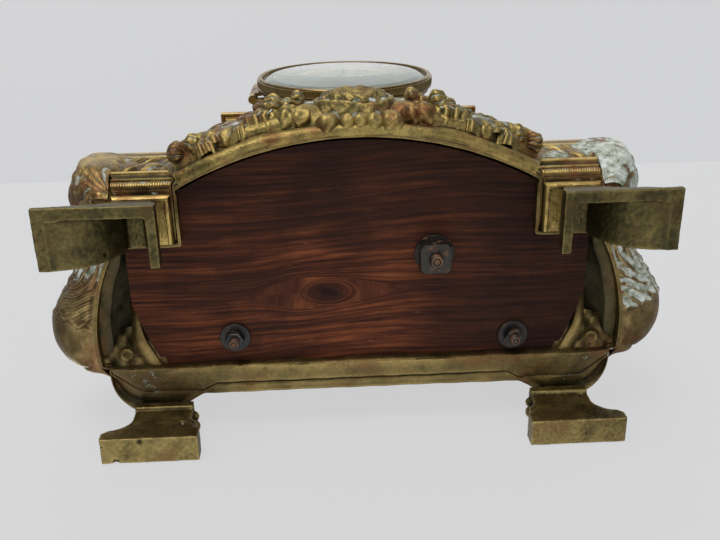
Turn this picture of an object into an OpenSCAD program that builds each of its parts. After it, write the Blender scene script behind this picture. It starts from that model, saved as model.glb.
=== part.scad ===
// Brass clock inkstand: bowed hollow base on four bracket feet, two lidded ink pots,
// and a glazed drum clock on a two-tier pedestal, held down by three tie rods.
// Millimetres. X is width, +Y is the back, +Z is up.

/* [Base] */
// Width of the bombe side scrolls from centre to outermost point
half_width = 140.5; // [120:160]
// Height of the four feet
foot_h = 27; // [20:35]
// Height of the deck above the table
deck_z = 75; // [65:90]
// Radius of the bowed front in plan
bow_r = 158; // [140:190]
// Thickness of the cast walls
wall = 3; // [2:5]

/* [Board and fixings] */
// Thickness of the wooden board
board_t = 8; // [6:12]
// Radius of the centre tie rod
rod_r = 2.6; // [2:4]
// Radius of the two rear tie rods
rear_rod_r = 2; // [1.5:3]

/* [Pedestal] */
// Half width of the lower rounded tier
tier_hw = 64; // [55:75]
// Half width of the square block's cap
block_hw = 66.5; // [55:75]
// Height of the block's top above the table
block_top = 134; // [120:150]

/* [Clock] */
// Height of the dial centre above the table
clock_z = 195; // [185:210]
// Outer radius of the drum
drum_r = 47; // [42:52]
// Outer radius of the milled bezel
bezel_r = 51.2; // [48:56]
// Radius of the bevelled glass
glass_r = 48; // [44:52]

/* [Ink pots] */
// Distance of each pot from the centre line
pot_x = 98; // [92:104]
// Outer radius of a pot's body
pot_r = 19; // [18.9:0.1:20]

/* [Hidden] */
$fn = 96;
bow_cy = bow_r - 60.5;
rim_top = foot_h + 5;
deck_under = deck_z - 6;
board_z = rim_top;
pot_y = 2;
nut_x = 32.5;
nut_y = -4.7;
rlx = -56.3;
rly = 32.1;
rrx = 68.8;
rry = 35.9;
rod_top = 122;
rear_rod_top = deck_z - 2;
drum_back = 24;
pedestal_back = 38;
lobe_cx = half_width - 35.3;
lobe_cy = 28;
brass = [0.62, 0.47, 0.20];
brass_light = [0.80, 0.64, 0.28];
steel_dark = [0.28, 0.22, 0.18];

module side(s) {
  if (s < 0) mirror([1, 0, 0]) children();
  else children();
}

// Solid disc or ring whose axis runs along Y, centred on x, z, from y0 to y1
module ycyl(x, z, r, y0, y1) {
  translate([x, y1, z]) rotate([90, 0, 0]) cylinder(r = r, h = y1 - y0);
}

module xcyl(y, z, r, x0, x1) {
  translate([x0, y, z]) rotate([0, 90, 0]) cylinder(r = r, h = x1 - x0);
}

// Plan of the hollow base, inset by d all round
module plan(d = 0) {
  intersection() {
    translate([0, bow_cy]) circle(r = bow_r - d, $fn = 240);
    translate([-104 + d, -70]) square([208 - 2 * d, 128 - d]);
  }
  for (s = [0, 1])
    mirror([s, 0]) {
      intersection() {
        translate([30.6, 28]) circle(r = 87 - d, $fn = 240);
        translate([90, -30]) square([40, 78]);
      }
      translate([93, 48]) circle(r = 20 - d);
    }
}

module slab(z0, z1, d = 0) {
  translate([0, 0, z0]) linear_extrude(height = z1 - z0) plan(d);
}

// Room taken out of the base for the two corner plinths
module plinth_room() {
  for (s = [-1, 1])
    side(s) translate([76.5, -70, foot_h - 1]) cube([60, 55.5, deck_z - foot_h + 2]);
}

module rod_holes(z0, z1, c = 0.3) {
  translate([nut_x, nut_y, z0]) cylinder(r = rod_r + c, h = z1 - z0);
  translate([rlx, rly, z0]) cylinder(r = rear_rod_r + c, h = z1 - z0);
  translate([rrx, rry, z0]) cylinder(r = rear_rod_r + c, h = z1 - z0);
}

module base_casting() {
  color(brass) difference() {
    union() {
      slab(foot_h, rim_top, 0);
      slab(rim_top - 0.01, deck_under + 0.01, 2.5);
      slab(deck_under, deck_z, 0);
      // swelling front between the plinths
      translate([0, bow_cy, 0]) rotate([0, 0, -90 - 29]) rotate_extrude(angle = 58, $fn = 240)
        polygon([[bow_r - 2.6, foot_h + 5], [bow_r, foot_h + 5], [bow_r + 5, foot_h + 10],
          [bow_r + 8.5, foot_h + 18], [bow_r + 7, foot_h + 27], [bow_r + 3, foot_h + 34],
          [bow_r, deck_under], [bow_r - 2.6, deck_under]]);
    }
    slab(rim_top - 0.02, deck_under, 2.5 + wall);
    // open underside, with a wide flat rail left along the back
    intersection() {
      slab(foot_h - 1, rim_top, 5);
      translate([-130, -90, foot_h - 2]) cube([260, 134, 20]);
    }
    plinth_room();
    translate([nut_x, nut_y, deck_under - 1]) cylinder(r = rod_r + 0.3, h = 20);
    for (at = [[rlx, rly], [rrx, rry]])
      translate([at[0], at[1], deck_under - 1]) cylinder(r = rear_rod_r + 0.05, h = rear_rod_top - deck_under + 1.2);
  }
}

// Turned outline of a scroll's hollow belly, from the rim under it to the deck above it
module belly() {
  rotate_extrude() difference() {
    polygon([[0, 1], [11, 1], [20, 4], [29, 11], [34, 17], [35.3, 20], [34.5, 26], [30, 33], [24, 38],
      [19, 40], [17, 44], [0, 44]]);
    polygon([[0, 4], [10, 4], [18, 7], [27, 14], [31.5, 19], [32.2, 21], [31, 26], [27, 31], [21, 36], [0, 39]]);
  }
}

// Side scroll: a big belly towards the back and a smaller shoulder that runs forward to the plinth
module side_scroll(s) {
  side(s) color(brass) difference() {
    union() {
      translate([lobe_cx, lobe_cy, foot_h]) belly();
      difference() {
        translate([lobe_cx, -2, foot_h + 7]) scale(0.66) belly();
        translate([lobe_cx, lobe_cy, foot_h + 1]) cylinder(r = 31, h = 40);
      }
    }
    slab(foot_h - 1, rim_top, 0);
    slab(rim_top - 0.1, deck_under + 0.1, 2.5);
    slab(deck_under, deck_z + 1, 0);
    translate([0, -80, 0]) cube([105, 200, 100]);
    translate([70, -70, 0]) cube([80, 55.5, 100]);
  }
}

// Corner plinth: mouldings that step out as they rise, with a leaf scroll over the outer corner
module plinth(s) {
  side(s) color(brass) union() {
    translate([78, -36.2, foot_h]) cube([23, 21.7, 4.4]);
    translate([77.2, -40.2, foot_h + 4.4]) cube([25.8, 25.7, 5]);
    translate([76.5, -42.4, foot_h + 9.4]) cube([28, 27.9, 4]);
    translate([76.5, -42.5, foot_h + 13]) cube([40, 28, 20]);
    translate([76.5, -42, foot_h + 33]) cube([42.5, 27.5, 9]);
    translate([76.5, -42.8, foot_h + 42]) cube([44.5, 28.3, deck_z - foot_h - 42]);
    translate([112, -37, foot_h + 23]) sphere(r = 10, $fn = 40);
    translate([98, -39, foot_h + 23]) sphere(r = 8.5, $fn = 40);
    translate([85, -40, foot_h + 23]) sphere(r = 7, $fn = 40);
  }
}

module foot_profile(x0, x1, t, h, r) {
  difference() {
    translate([x0, 0]) square([x1 - x0, h]);
    translate([x1 - 1, t + r]) circle(r = r);
    translate([x1 - 1, t]) square([r, h]);
  }
}

// Everything in front of a face that starts at y and leans back as it rises
module lean(y) {
  translate([70, 0, 0]) rotate([90, 0, 90]) linear_extrude(height = 70)
    polygon([[y - 9, 2.5], [y, 2.5], [y + 6.2, foot_h + 0.6], [y + 6.2, foot_h + 2], [y - 9, foot_h + 2]]);
}

module front_foot(s) {
  side(s) color(brass) difference() {
    translate([0, -14.6, 0]) rotate([90, 0, 0]) linear_extrude(height = 26.2)
      foot_profile(79, 126.5, 3.5, foot_h, 24.5);
    lean(-40.8);
    difference() {
      translate([0, -14, -0.5]) rotate([90, 0, 0]) linear_extrude(height = 21.4)
        foot_profile(83.5, 121.5, 1, foot_h - 2.5, 24.5);
      lean(-35.4);
    }
  }
}

// Rear foot: a bar along the ground, a waisted neck that flares outwards into it, and a moulding under the base
module rear_foot(s) {
  side(s) color(brass) difference() {
    union() {
      translate([0, 75, 0]) rotate([90, 0, 0]) linear_extrude(height = 12.5) union() {
        translate([72, 0]) square([42, 8]);
        translate([76.5, 7]) square([25.8, foot_h - 7]);
        difference() {
          translate([102, 7.5]) square([9, 9.5]);
          translate([111.2, 17]) circle(r = 9.1);
        }
      }
      translate([76.5, 61, foot_h - 4.5]) cube([26.3, 14, 4.5]);
    }
    translate([114, 68, 8]) rotate([0, 45, 0]) cube([4, 30, 4], center = true);
  }
}

// Envelope of the swelling front, for trimming what is applied to it
module bow_envelope() {
  translate([0, bow_cy, 0]) rotate_extrude($fn = 240)
    polygon([[0, foot_h - 10], [bow_r, foot_h - 10], [bow_r, foot_h + 5], [bow_r + 5, foot_h + 10],
      [bow_r + 8.5, foot_h + 18], [bow_r + 7, foot_h + 27], [bow_r + 3, foot_h + 34],
      [bow_r, deck_under], [bow_r, 120], [0, 120]]);
}

module front_shell() {
  color(brass) difference() {
    union() {
      translate([0, -62, foot_h + 9]) rotate([90, 0, 0]) linear_extrude(height = 10) union() {
        for (a = [-75, -50, -25, 0, 25, 50, 75])
          translate([17 * sin(a), 17 * cos(a)]) circle(r = 4.6);
        circle(r = 17);
      }
      translate([0, -72, foot_h + 11]) rotate([90, 0, 0]) cylinder(r1 = 13, r2 = 6, h = 3);
    }
    bow_envelope();
  }
}

// One festoon: a curved half-round moulding along the bow with a bud at each end
module garland(s) {
  side(s) color(brass) difference() {
    union() {
      translate([0, bow_cy, 0]) rotate([0, 0, -90 + 8.2]) rotate_extrude(angle = 18, $fn = 240)
        translate([bow_r + 7, foot_h + 14]) circle(r = 4.5, $fn = 32);
      for (a = [11, 25])
        translate([0, bow_cy, 0]) rotate([0, 0, -90 + a])
          translate([bow_r + 8, 0, foot_h + 16]) sphere(r = 6.5, $fn = 32);
    }
    bow_envelope();
    translate([76.4, -80, 0]) cube([60, 80, 100]);
  }
}

module wood_board() {
  color([0.30, 0.15, 0.08]) difference() {
    translate([0, 0, board_z + 0.2]) linear_extrude(height = board_t) intersection() {
      translate([0, bow_cy]) circle(r = bow_r - 6, $fn = 240);
      polygon([[-88, 47], [88, 47], [96, 28], [102.5, 8], [104, -14], [76, -14], [76, -70],
        [-76, -70], [-76, -14], [-104, -14], [-102.5, 8], [-96, 28]]);
      plan(2.5 + wall + 0.2);
    }
    rod_holes(board_z - 1, board_z + board_t + 2);
  }
}

module rod(x, y, r, z0, z1) {
  color(steel_dark) union() {
    translate([x, y, z0]) cylinder(r1 = r - 0.5, r2 = r, h = 1);
    translate([x, y, z0 + 1]) cylinder(r = r, h = z1 - z0 - 1);
  }
}

module washer(x, y, r, hole, t) {
  color(steel_dark) translate([x, y, board_z + 0.2 - t]) difference() {
    cylinder(r = r, h = t);
    translate([0, 0, -1]) cylinder(r = hole, h = t + 2);
  }
}

module centre_tie_rod() {
  rod(nut_x, nut_y, rod_r, board_z - 11, rod_top);
}

module square_nut() {
  color(steel_dark) translate([nut_x, nut_y, board_z - 7.6]) difference() {
    intersection() {
      translate([-6.8, -6.8, 0]) cube([13.6, 13.6, 6.3]);
      cylinder(r1 = 8.2, r2 = 10.5, h = 6.3);
    }
    translate([0, 0, -1]) cylinder(r = rod_r, h = 9);
  }
}

module rear_nut(x, y) {
  color(steel_dark) translate([x, y, board_z - 4.9]) difference() {
    cylinder(r = 4.4, h = 3.6, $fn = 6);
    translate([0, 0, -1]) cylinder(r = rear_rod_r, h = 6);
  }
}

module rounded(hw, y0, y1, r, z0, z1) {
  translate([0, 0, z0]) linear_extrude(height = z1 - z0) union() {
    translate([-hw + r, y0]) square([2 * hw - 2 * r, y1 - y0]);
    translate([-hw, y0 + r]) square([2 * hw, y1 - y0 - 2 * r]);
    for (x = [-hw + r, hw - r])
      for (y = [y0 + r, y1 - r])
        translate([x, y]) circle(r = r);
  }
}

module pedestal_tier() {
  color(brass) difference() {
    union() {
      rounded(tier_hw + 2, -49.5, pedestal_back + 4, 10, deck_z, deck_z + 4);
      rounded(tier_hw, -48, pedestal_back + 2.5, 12, deck_z + 4, deck_z + 6);
      rounded(tier_hw + 1.5, -49, pedestal_back + 3.5, 12, deck_z + 6, deck_z + 12);
      rounded(tier_hw, -48, pedestal_back + 2.5, 12, deck_z + 12, deck_z + 14);
      rounded(tier_hw - 4, -45, pedestal_back - 0.5, 8, deck_z + 14, 93);
    }
    rounded(tier_hw - 12, -36, pedestal_back - 10, 8, deck_z - 1, deck_z + 13);
    translate([nut_x, nut_y, deck_z - 1]) cylinder(r = rod_r + 0.3, h = 30);
  }
}

module pedestal_block() {
  color(brass) difference() {
    union() {
      translate([-block_hw + 3, -45, 93]) cube([2 * block_hw - 6, pedestal_back + 42, 5]);
      translate([-block_hw + 5.5, -42.5, 98]) cube([2 * block_hw - 11, pedestal_back + 37, 3]);
      translate([-block_hw + 7.5, -40.5, 101]) cube([2 * block_hw - 15, pedestal_back + 33, block_top - 112]);
      translate([-block_hw + 5, -43, block_top - 11]) cube([2 * block_hw - 10, pedestal_back + 38, 3.5]);
      translate([-block_hw + 2.5, -45.5, block_top - 7.5]) cube([2 * block_hw - 5, pedestal_back + 43, 3.5]);
      translate([-block_hw, -48, block_top - 4]) cube([2 * block_hw, pedestal_back + 48, 4]);
    }
    difference() {
      translate([-block_hw + 12, -36, 92]) cube([2 * block_hw - 24, pedestal_back + 24, block_top - 98]);
      translate([nut_x, nut_y, 90]) cylinder(r = 7, h = 50);
    }
    translate([nut_x, nut_y, 90]) cylinder(r = rod_r + 0.05, h = rod_top - 89.8);
  }
}

module drum_cradle() {
  color(brass) difference() {
    union() {
      translate([-46, -36, block_top]) cube([92, drum_back + 36, 5]);
      translate([-40, -32, block_top + 5]) cube([80, drum_back + 28, 18]);
      for (s = [-1, 1])
        side(s) {
          ycyl(50, block_top + 8, 8, -36, drum_back);
          ycyl(48, block_top + 27, 5.5, -32, drum_back - 4);
          translate([40, -32, block_top + 6]) cube([10, drum_back + 28, 22]);
        }
    }
    ycyl(0, clock_z, drum_r + 0.02, -60, 60);
    translate([-36, -28, block_top - 1]) cube([72, drum_back + 20, 11]);
  }
}

module drum_case() {
  color(brass_light) difference() {
    union() {
      ycyl(0, clock_z, drum_r, -46, drum_back);
      // front and back hinge ears
      for (z = [clock_z - 20, clock_z + 12]) {
        translate([-53.2, -46, z]) cylinder(r = 2.4, h = 8);
        translate([-53.4, -45.8, z]) cube([10, 3, 8]);
        translate([-50.5, drum_back + 2, z]) cylinder(r = 2.2, h = 8);
        translate([-50.7, drum_back - 3, z]) cube([8, 3, 8]);
        translate([-52.6, drum_back - 3, z]) cube([3.4, 5, 8]);
      }
      translate([-53.2, -46, clock_z - 20]) cylinder(r = 1.1, h = 40);
      translate([-50.5, drum_back + 2, clock_z - 20]) cylinder(r = 1, h = 40);
    }
    ycyl(0, clock_z, drum_r - wall, -47, drum_back + 1);
  }
}

module ring_y(x, z, ro, ri, y0, y1) {
  difference() {
    ycyl(x, z, ro, y0, y1);
    ycyl(x, z, ri, y0 - 1, y1 + 1);
  }
}

module bezel_ring() {
  color(brass_light) difference() {
    union() {
      ycyl(0, clock_z, bezel_r, -56, -49);
      ycyl(0, clock_z, bezel_r - 2.2, -49, -46.3);
      translate([-53.2, -46, clock_z - 11.7]) cylinder(r = 2.4, h = 23.4);
      translate([-53.2, -48.4, clock_z - 11.7]) cube([7, 2.1, 23.4]);
    }
    ycyl(0, clock_z, 45, -57, -45);
    ycyl(0, clock_z, glass_r + 0.02, -57, -52);
    translate([-53.2, -46, clock_z - 30]) cylinder(r = 1.16, h = 60);
  }
}

module bezel_glass() {
  color([0.75, 0.88, 0.80, 0.4]) union() {
    ycyl(0, clock_z, glass_r, -53.8, -52);
    translate([0, -53.8, clock_z]) rotate([90, 0, 0]) cylinder(r1 = glass_r, r2 = glass_r - 5, h = 2.2);
  }
}

module slip_ring() {
  color(brass_light) union() {
    ring_y(0, clock_z, 44, 34, -46, -44.8);
    ring_y(0, clock_z, 43.9, 41.6, -46.8, -46);
    ring_y(0, clock_z, 35.8, 34, -46.8, -46);
  }
}

module dial_plate() {
  color([0.92, 0.91, 0.87]) difference() {
    ycyl(0, clock_z, 43.95, -44.8, -43.4);
    ycyl(0, clock_z, 2.6, -46, -42);
    ycyl(0, clock_z - 18, 2.8, -46, -42);
  }
}

module movement_plate_front() {
  color(brass_light) difference() {
    union() {
      ycyl(0, clock_z, 33, -39, -37);
      for (a = [45, 135, 225, 315])
        ycyl(27 * cos(a), clock_z + 27 * sin(a), 1.6, -43.4, -39);
    }
    ycyl(0, clock_z, 1.3, -45, -30);
    ycyl(0, clock_z - 18, 2.3, -45, -30);
  }
}

module movement_plate_back() {
  color(brass_light) union() {
    difference() {
      ycyl(0, clock_z, 33, -14, -12);
      ycyl(0, clock_z, 1.3, -20, -5);
      ycyl(0, clock_z - 18, 2.3, -20, -5);
    }
    // cock that carries the pendulum, and the three arms that hold the plate in the drum
    translate([-3, -12, clock_z + 22]) cube([6, 4, 5]);
    ycyl(0, clock_z + 24.5, 0.9, -8, -3);
    for (a = [90, 210, 330])
      translate([0, -12, clock_z]) rotate([0, -a, 0]) translate([32.5, -2, -3]) cube([11.4, 2, 6]);
  }
}

module movement_pillars() {
  color(brass_light) for (a = [45, 135, 225, 315])
    ycyl(27 * cos(a), clock_z + 27 * sin(a), 2.2, -37, -14);
}

module mainspring_barrel() {
  color(brass_light) difference() {
    union() {
      ycyl(0, clock_z - 18, 13, -35.5, -20);
      ycyl(0, clock_z - 18, 15, -35.5, -33.5);
      ycyl(0, clock_z - 18, 4, -37, -35.5);
      ycyl(0, clock_z - 18, 4, -20, -14);
    }
    ycyl(0, clock_z - 18, 2.3, -40, -10);
  }
}

module winding_arbor() {
  color([0.55, 0.55, 0.55]) union() {
    ycyl(0, clock_z - 18, 2.24, -43, -10);
    translate([-1.5, -47.2, clock_z - 19.5]) cube([3, 4.3, 3]);
  }
}

module minute_hand() {
  color([0.10, 0.12, 0.22]) union() {
    ycyl(0, clock_z, 1.24, -50.4, -11.4);
    ycyl(0, clock_z, 2.6, -50.2, -49.5);
    translate([0, -49.5, clock_z]) rotate([90, 0, 0]) linear_extrude(height = 0.6)
      polygon([[-0.9, 0], [-0.7, 12], [-2, 18], [-0.5, 24], [-0.4, 33], [0.4, 33], [0.5, 24],
        [2, 18], [0.7, 12], [0.9, 0], [0.7, -8], [-0.7, -8]]);
  }
}

module hour_hand() {
  color([0.10, 0.12, 0.22]) difference() {
    union() {
      ycyl(0, clock_z, 2.3, -48.9, -41);
      ycyl(0, clock_z, 3.2, -48.7, -48.1);
      translate([0, -48.1, clock_z]) rotate([0, -60, 0]) rotate([90, 0, 0]) linear_extrude(height = 0.6)
        polygon([[-1, 0], [-0.9, 9], [-3, 14], [-0.6, 19], [-0.5, 25], [0.5, 25], [0.6, 19],
          [3, 14], [0.9, 9], [1, 0]]);
    }
    ycyl(0, clock_z, 1.3, -52, -30);
  }
}

module pendulum() {
  color(brass_light) difference() {
    union() {
      ycyl(0, clock_z + 24.5, 2.4, -7.5, -3.6);
      translate([-0.7, -6.2, clock_z - 18]) cube([1.4, 1.4, 41]);
      ycyl(0, clock_z - 20, 8, -8, -3);
      translate([-1, -6.5, clock_z - 30]) cube([2, 2, 4]);
    }
    ycyl(0, clock_z + 24.5, 0.95, -10, 0);
  }
}

module back_door() {
  color(brass_light) difference() {
    union() {
      ycyl(0, clock_z, drum_r - 1, drum_back + 0.3, drum_back + 2.5);
      ring_y(0, clock_z, drum_r - 1, drum_r - 5, drum_back + 2.5, drum_back + 3.6);
      translate([-50.5, drum_back + 2, clock_z - 11.7]) cylinder(r = 2.2, h = 23.4);
      translate([-50.5, drum_back + 1.4, clock_z - 11.7]) cube([8, 1.6, 23.4]);
      ycyl(38, clock_z, 2.4, drum_back + 2.4, drum_back + 6);
    }
    translate([-50.5, drum_back + 2, clock_z - 30]) cylinder(r = 1.06, h = 60);
  }
}

module crest_finial() {
  color(brass) difference() {
    union() {
      translate([-14, -24, clock_z + drum_r - 6]) cube([28, 28, 10]);
      translate([0, -10, clock_z + drum_r + 3]) rotate_extrude() polygon([[0, 0], [11, 0], [11, 3], [6, 5],
        [4, 9], [4, 13], [9, 18], [12.5, 24], [13, 28], [10, 31], [11, 33], [9, 35], [6, 38], [4, 42],
        [5, 45], [4, 48], [1.5, 51], [0, 51]]);
    }
    ycyl(0, clock_z, drum_r + 0.02, -60, 60);
  }
}

module ink_pot(s) {
  side(s) translate([pot_x, pot_y, deck_z]) color(brass) difference() {
    union() {
      rotate_extrude() polygon([[0, 0], [pot_r - 2, 0], [pot_r - 2, 2.5], [pot_r - 4.5, 4], [pot_r - 5.5, 6],
        [pot_r - 3.5, 9], [pot_r - 1, 15], [pot_r, 22], [pot_r - 0.6, 29], [pot_r - 1.8, 33],
        [pot_r - 0.4, 34.5], [pot_r + 0.2, 36.5], [pot_r + 0.2, 38.2], [0, 38.2]]);
      for (x = [-9, 4.7]) {
        xcyl(21.6, 39.6, 2, x, x + 4.3);
        translate([x, 14, 34.5]) cube([4.3, 7.8, 3.7]);
      }
      xcyl(21.6, 39.6, 0.9, -9, 9);
    }
    translate([0, 0, 4]) rotate_extrude() polygon([[0, 0], [11, 0], [14, 6], [16.1, 12], [16.1, 40], [0, 40]]);
  }
}

module pot_liner(s) {
  side(s) translate([pot_x, pot_y, deck_z]) color([0.93, 0.94, 0.92]) rotate_extrude() difference() {
    polygon([[0, 4.5], [10.5, 4.5], [13.5, 10.5], [15.8, 16.2], [15.8, 38.2], [18.6, 38.2], [18.6, 39.6], [0, 39.6]]);
    polygon([[0, 6.5], [9.5, 6.5], [12, 12], [13.8, 17], [13.8, 41], [0, 41]]);
  }
}

module pot_lid(s) {
  side(s) translate([pot_x, pot_y, deck_z]) color(brass) difference() {
    union() {
      rotate_extrude() polygon([[0, 41.6], [15, 41.6], [15, 40], [19.2, 40], [19.2, 42], [17.5, 44], [15, 49],
        [10, 53], [5, 55], [3, 57], [3, 59], [5.2, 62], [5.2, 65], [3, 67.5], [0, 68.5]]);
      xcyl(21.6, 39.6, 2, -4.4, 4.4);
      translate([-4.4, 15, 40.4]) cube([8.8, 6.6, 1.9]);
    }
    xcyl(21.6, 39.6, 0.96, -12, 12);
    rotate_extrude() polygon([[0, 39], [13, 39], [13, 43], [10, 47], [5, 50], [0, 51]]);
  }
}

base_casting();
side_scroll(-1);  // side_scroll_left
side_scroll(1);  // side_scroll_right
plinth(-1);  // plinth_left
plinth(1);  // plinth_right
front_foot(-1);  // front_foot_left
front_foot(1);  // front_foot_right
rear_foot(-1);  // rear_foot_left
rear_foot(1);  // rear_foot_right
front_shell();
garland(-1);  // garland_left
garland(1);  // garland_right
wood_board();
centre_tie_rod();
square_nut();
washer(nut_x, nut_y, 8.7, rod_r + 0.3, 1.3);  // centre_washer
rod(rlx, rly, rear_rod_r, board_z - 8, rear_rod_top);  // rear_tie_rod_left
rod(rrx, rry, rear_rod_r, board_z - 8, rear_rod_top);  // rear_tie_rod_right
washer(rlx, rly, 6.8, rear_rod_r + 0.3, 1.3);  // rear_washer_left
washer(rrx, rry, 6.8, rear_rod_r + 0.3, 1.3);  // rear_washer_right
rear_nut(rlx, rly);  // rear_nut_left
rear_nut(rrx, rry);  // rear_nut_right
pedestal_tier();
pedestal_block();
drum_cradle();
drum_case();
slip_ring();
dial_plate();
movement_plate_front();
movement_plate_back();
movement_pillars();
mainspring_barrel();
crest_finial();
ink_pot(-1);  // ink_pot_left
ink_pot(1);  // ink_pot_right
pot_liner(-1);  // pot_liner_left
pot_liner(1);  // pot_liner_right
bezel_ring();
bezel_glass();
minute_hand();
hour_hand();
winding_arbor();
pendulum();
back_door();
pot_lid(-1);  // pot_lid_left
pot_lid(1);  // pot_lid_right
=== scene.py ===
"""Looks of the brass clock inkstand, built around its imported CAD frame.

Millimetres in the builders, metres in Blender.
"""
import math

import bmesh
import bpy
import numpy as np
from mathutils import Matrix, Vector, noise


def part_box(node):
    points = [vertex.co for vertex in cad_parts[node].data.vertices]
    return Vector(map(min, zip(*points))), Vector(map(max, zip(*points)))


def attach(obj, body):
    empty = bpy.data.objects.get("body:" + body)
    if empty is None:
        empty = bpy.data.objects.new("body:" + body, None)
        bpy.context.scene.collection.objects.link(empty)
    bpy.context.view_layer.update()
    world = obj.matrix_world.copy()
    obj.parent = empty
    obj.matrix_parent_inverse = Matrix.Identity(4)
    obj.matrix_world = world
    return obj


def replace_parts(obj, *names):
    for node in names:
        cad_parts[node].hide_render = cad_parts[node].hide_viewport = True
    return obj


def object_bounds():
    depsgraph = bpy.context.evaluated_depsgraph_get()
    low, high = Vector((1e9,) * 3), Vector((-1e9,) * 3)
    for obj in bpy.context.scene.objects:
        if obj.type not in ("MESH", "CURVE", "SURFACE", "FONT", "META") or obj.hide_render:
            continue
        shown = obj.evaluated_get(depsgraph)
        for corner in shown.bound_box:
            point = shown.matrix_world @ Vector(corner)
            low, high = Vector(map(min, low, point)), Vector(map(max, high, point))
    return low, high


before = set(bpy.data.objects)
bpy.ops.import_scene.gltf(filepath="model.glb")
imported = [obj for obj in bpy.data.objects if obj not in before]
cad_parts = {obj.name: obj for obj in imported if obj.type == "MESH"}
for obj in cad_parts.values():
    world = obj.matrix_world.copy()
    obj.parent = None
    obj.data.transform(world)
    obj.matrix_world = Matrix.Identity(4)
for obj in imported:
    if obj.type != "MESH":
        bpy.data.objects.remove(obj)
cad_low, cad_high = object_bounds()

MM = 0.001
STAND = "stand"


def node_box(node):
    """Lowest and highest corner of a CAD node, in millimetres."""
    low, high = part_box(node)
    return np.array(low) / MM, np.array(high) / MM


# ---------------------------------------------------------------- main sizes, read from the frame
base_high = node_box("base_casting")[1]
board_low, board_high = node_box("wood_board")
block_low, block_high = node_box("pedestal_block")
tier_low, tier_high = node_box("pedestal_tier")
glass_low, glass_high = node_box("bezel_glass")
drum_low, drum_high = node_box("drum_case")
scroll_high = node_box("side_scroll_right")[1]
pot_low, pot_high = node_box("ink_pot_right")

DECK_Z = base_high[2]
BOW_R = 158.0
BOW_CY = BOW_R - 60.5
LINING_R = 154.9
CLOCK_Z = (glass_low[2] + glass_high[2]) / 2
rng = np.random.default_rng(7)


# ---------------------------------------------------------------- mesh helpers
def smoothstep(a, b, x):
    t = np.clip((np.asarray(x, float) - a) / (b - a), 0, 1)
    return t * t * (3 - 2 * t)


def bump(x, centre, width):
    """A smooth hump of height 1 at centre, nearly gone at twice the width."""
    return np.exp(-(((np.asarray(x, float) - centre) / width) ** 2))


def spline(points, n, closed=False):
    """n points on a Catmull-Rom curve through the given points."""
    p = np.asarray(points, float)
    m = len(p) if closed else len(p) - 1
    t = np.linspace(0, m, n, endpoint=not closed)
    i = np.minimum(t.astype(int), m - 1)
    f = (t - i)[:, None]
    if closed:
        a, b, c, d = (p[(i + k) % len(p)] for k in (-1, 0, 1, 2))
    else:
        q = np.vstack([2 * p[0] - p[1], p, 2 * p[-1] - p[-2]])
        a, b, c, d = (q[i + k] for k in (0, 1, 2, 3))
    return 0.5 * (2 * b + (c - a) * f + (2 * a - 5 * b + 4 * c - d) * f**2 + (3 * b - a - 3 * c + d) * f**3)


def add_piece(name, verts, faces, material, body=STAND, attrs=None, smooth=True, sharp=35, slot=None,
              outward=True):
    """A mesh object from millimetre vertices and faces, riding on a body."""
    mesh = bpy.data.meshes.new(name)
    mesh.from_pydata((np.asarray(verts) * MM).tolist(), [], [tuple(int(i) for i in f) for f in faces])
    mesh.update()
    if outward:
        work = bmesh.new()
        work.from_mesh(mesh)
        bmesh.ops.recalc_face_normals(work, faces=work.faces)
        work.to_mesh(mesh)
        work.free()
    for key, values in (attrs or {}).items():
        layer = mesh.attributes.new(key, "FLOAT", "POINT")
        layer.data.foreach_set("value", np.asarray(values, np.float32).ravel())
    mesh.materials.append(material)
    obj = bpy.data.objects.new(name, mesh)
    bpy.context.collection.objects.link(obj)
    if smooth:
        mesh.polygons.foreach_set("use_smooth", [True] * len(mesh.polygons))
        if sharp:
            mesh.set_sharp_from_angle(angle=math.radians(sharp))
    if body:
        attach(obj, body)
    return obj


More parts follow.
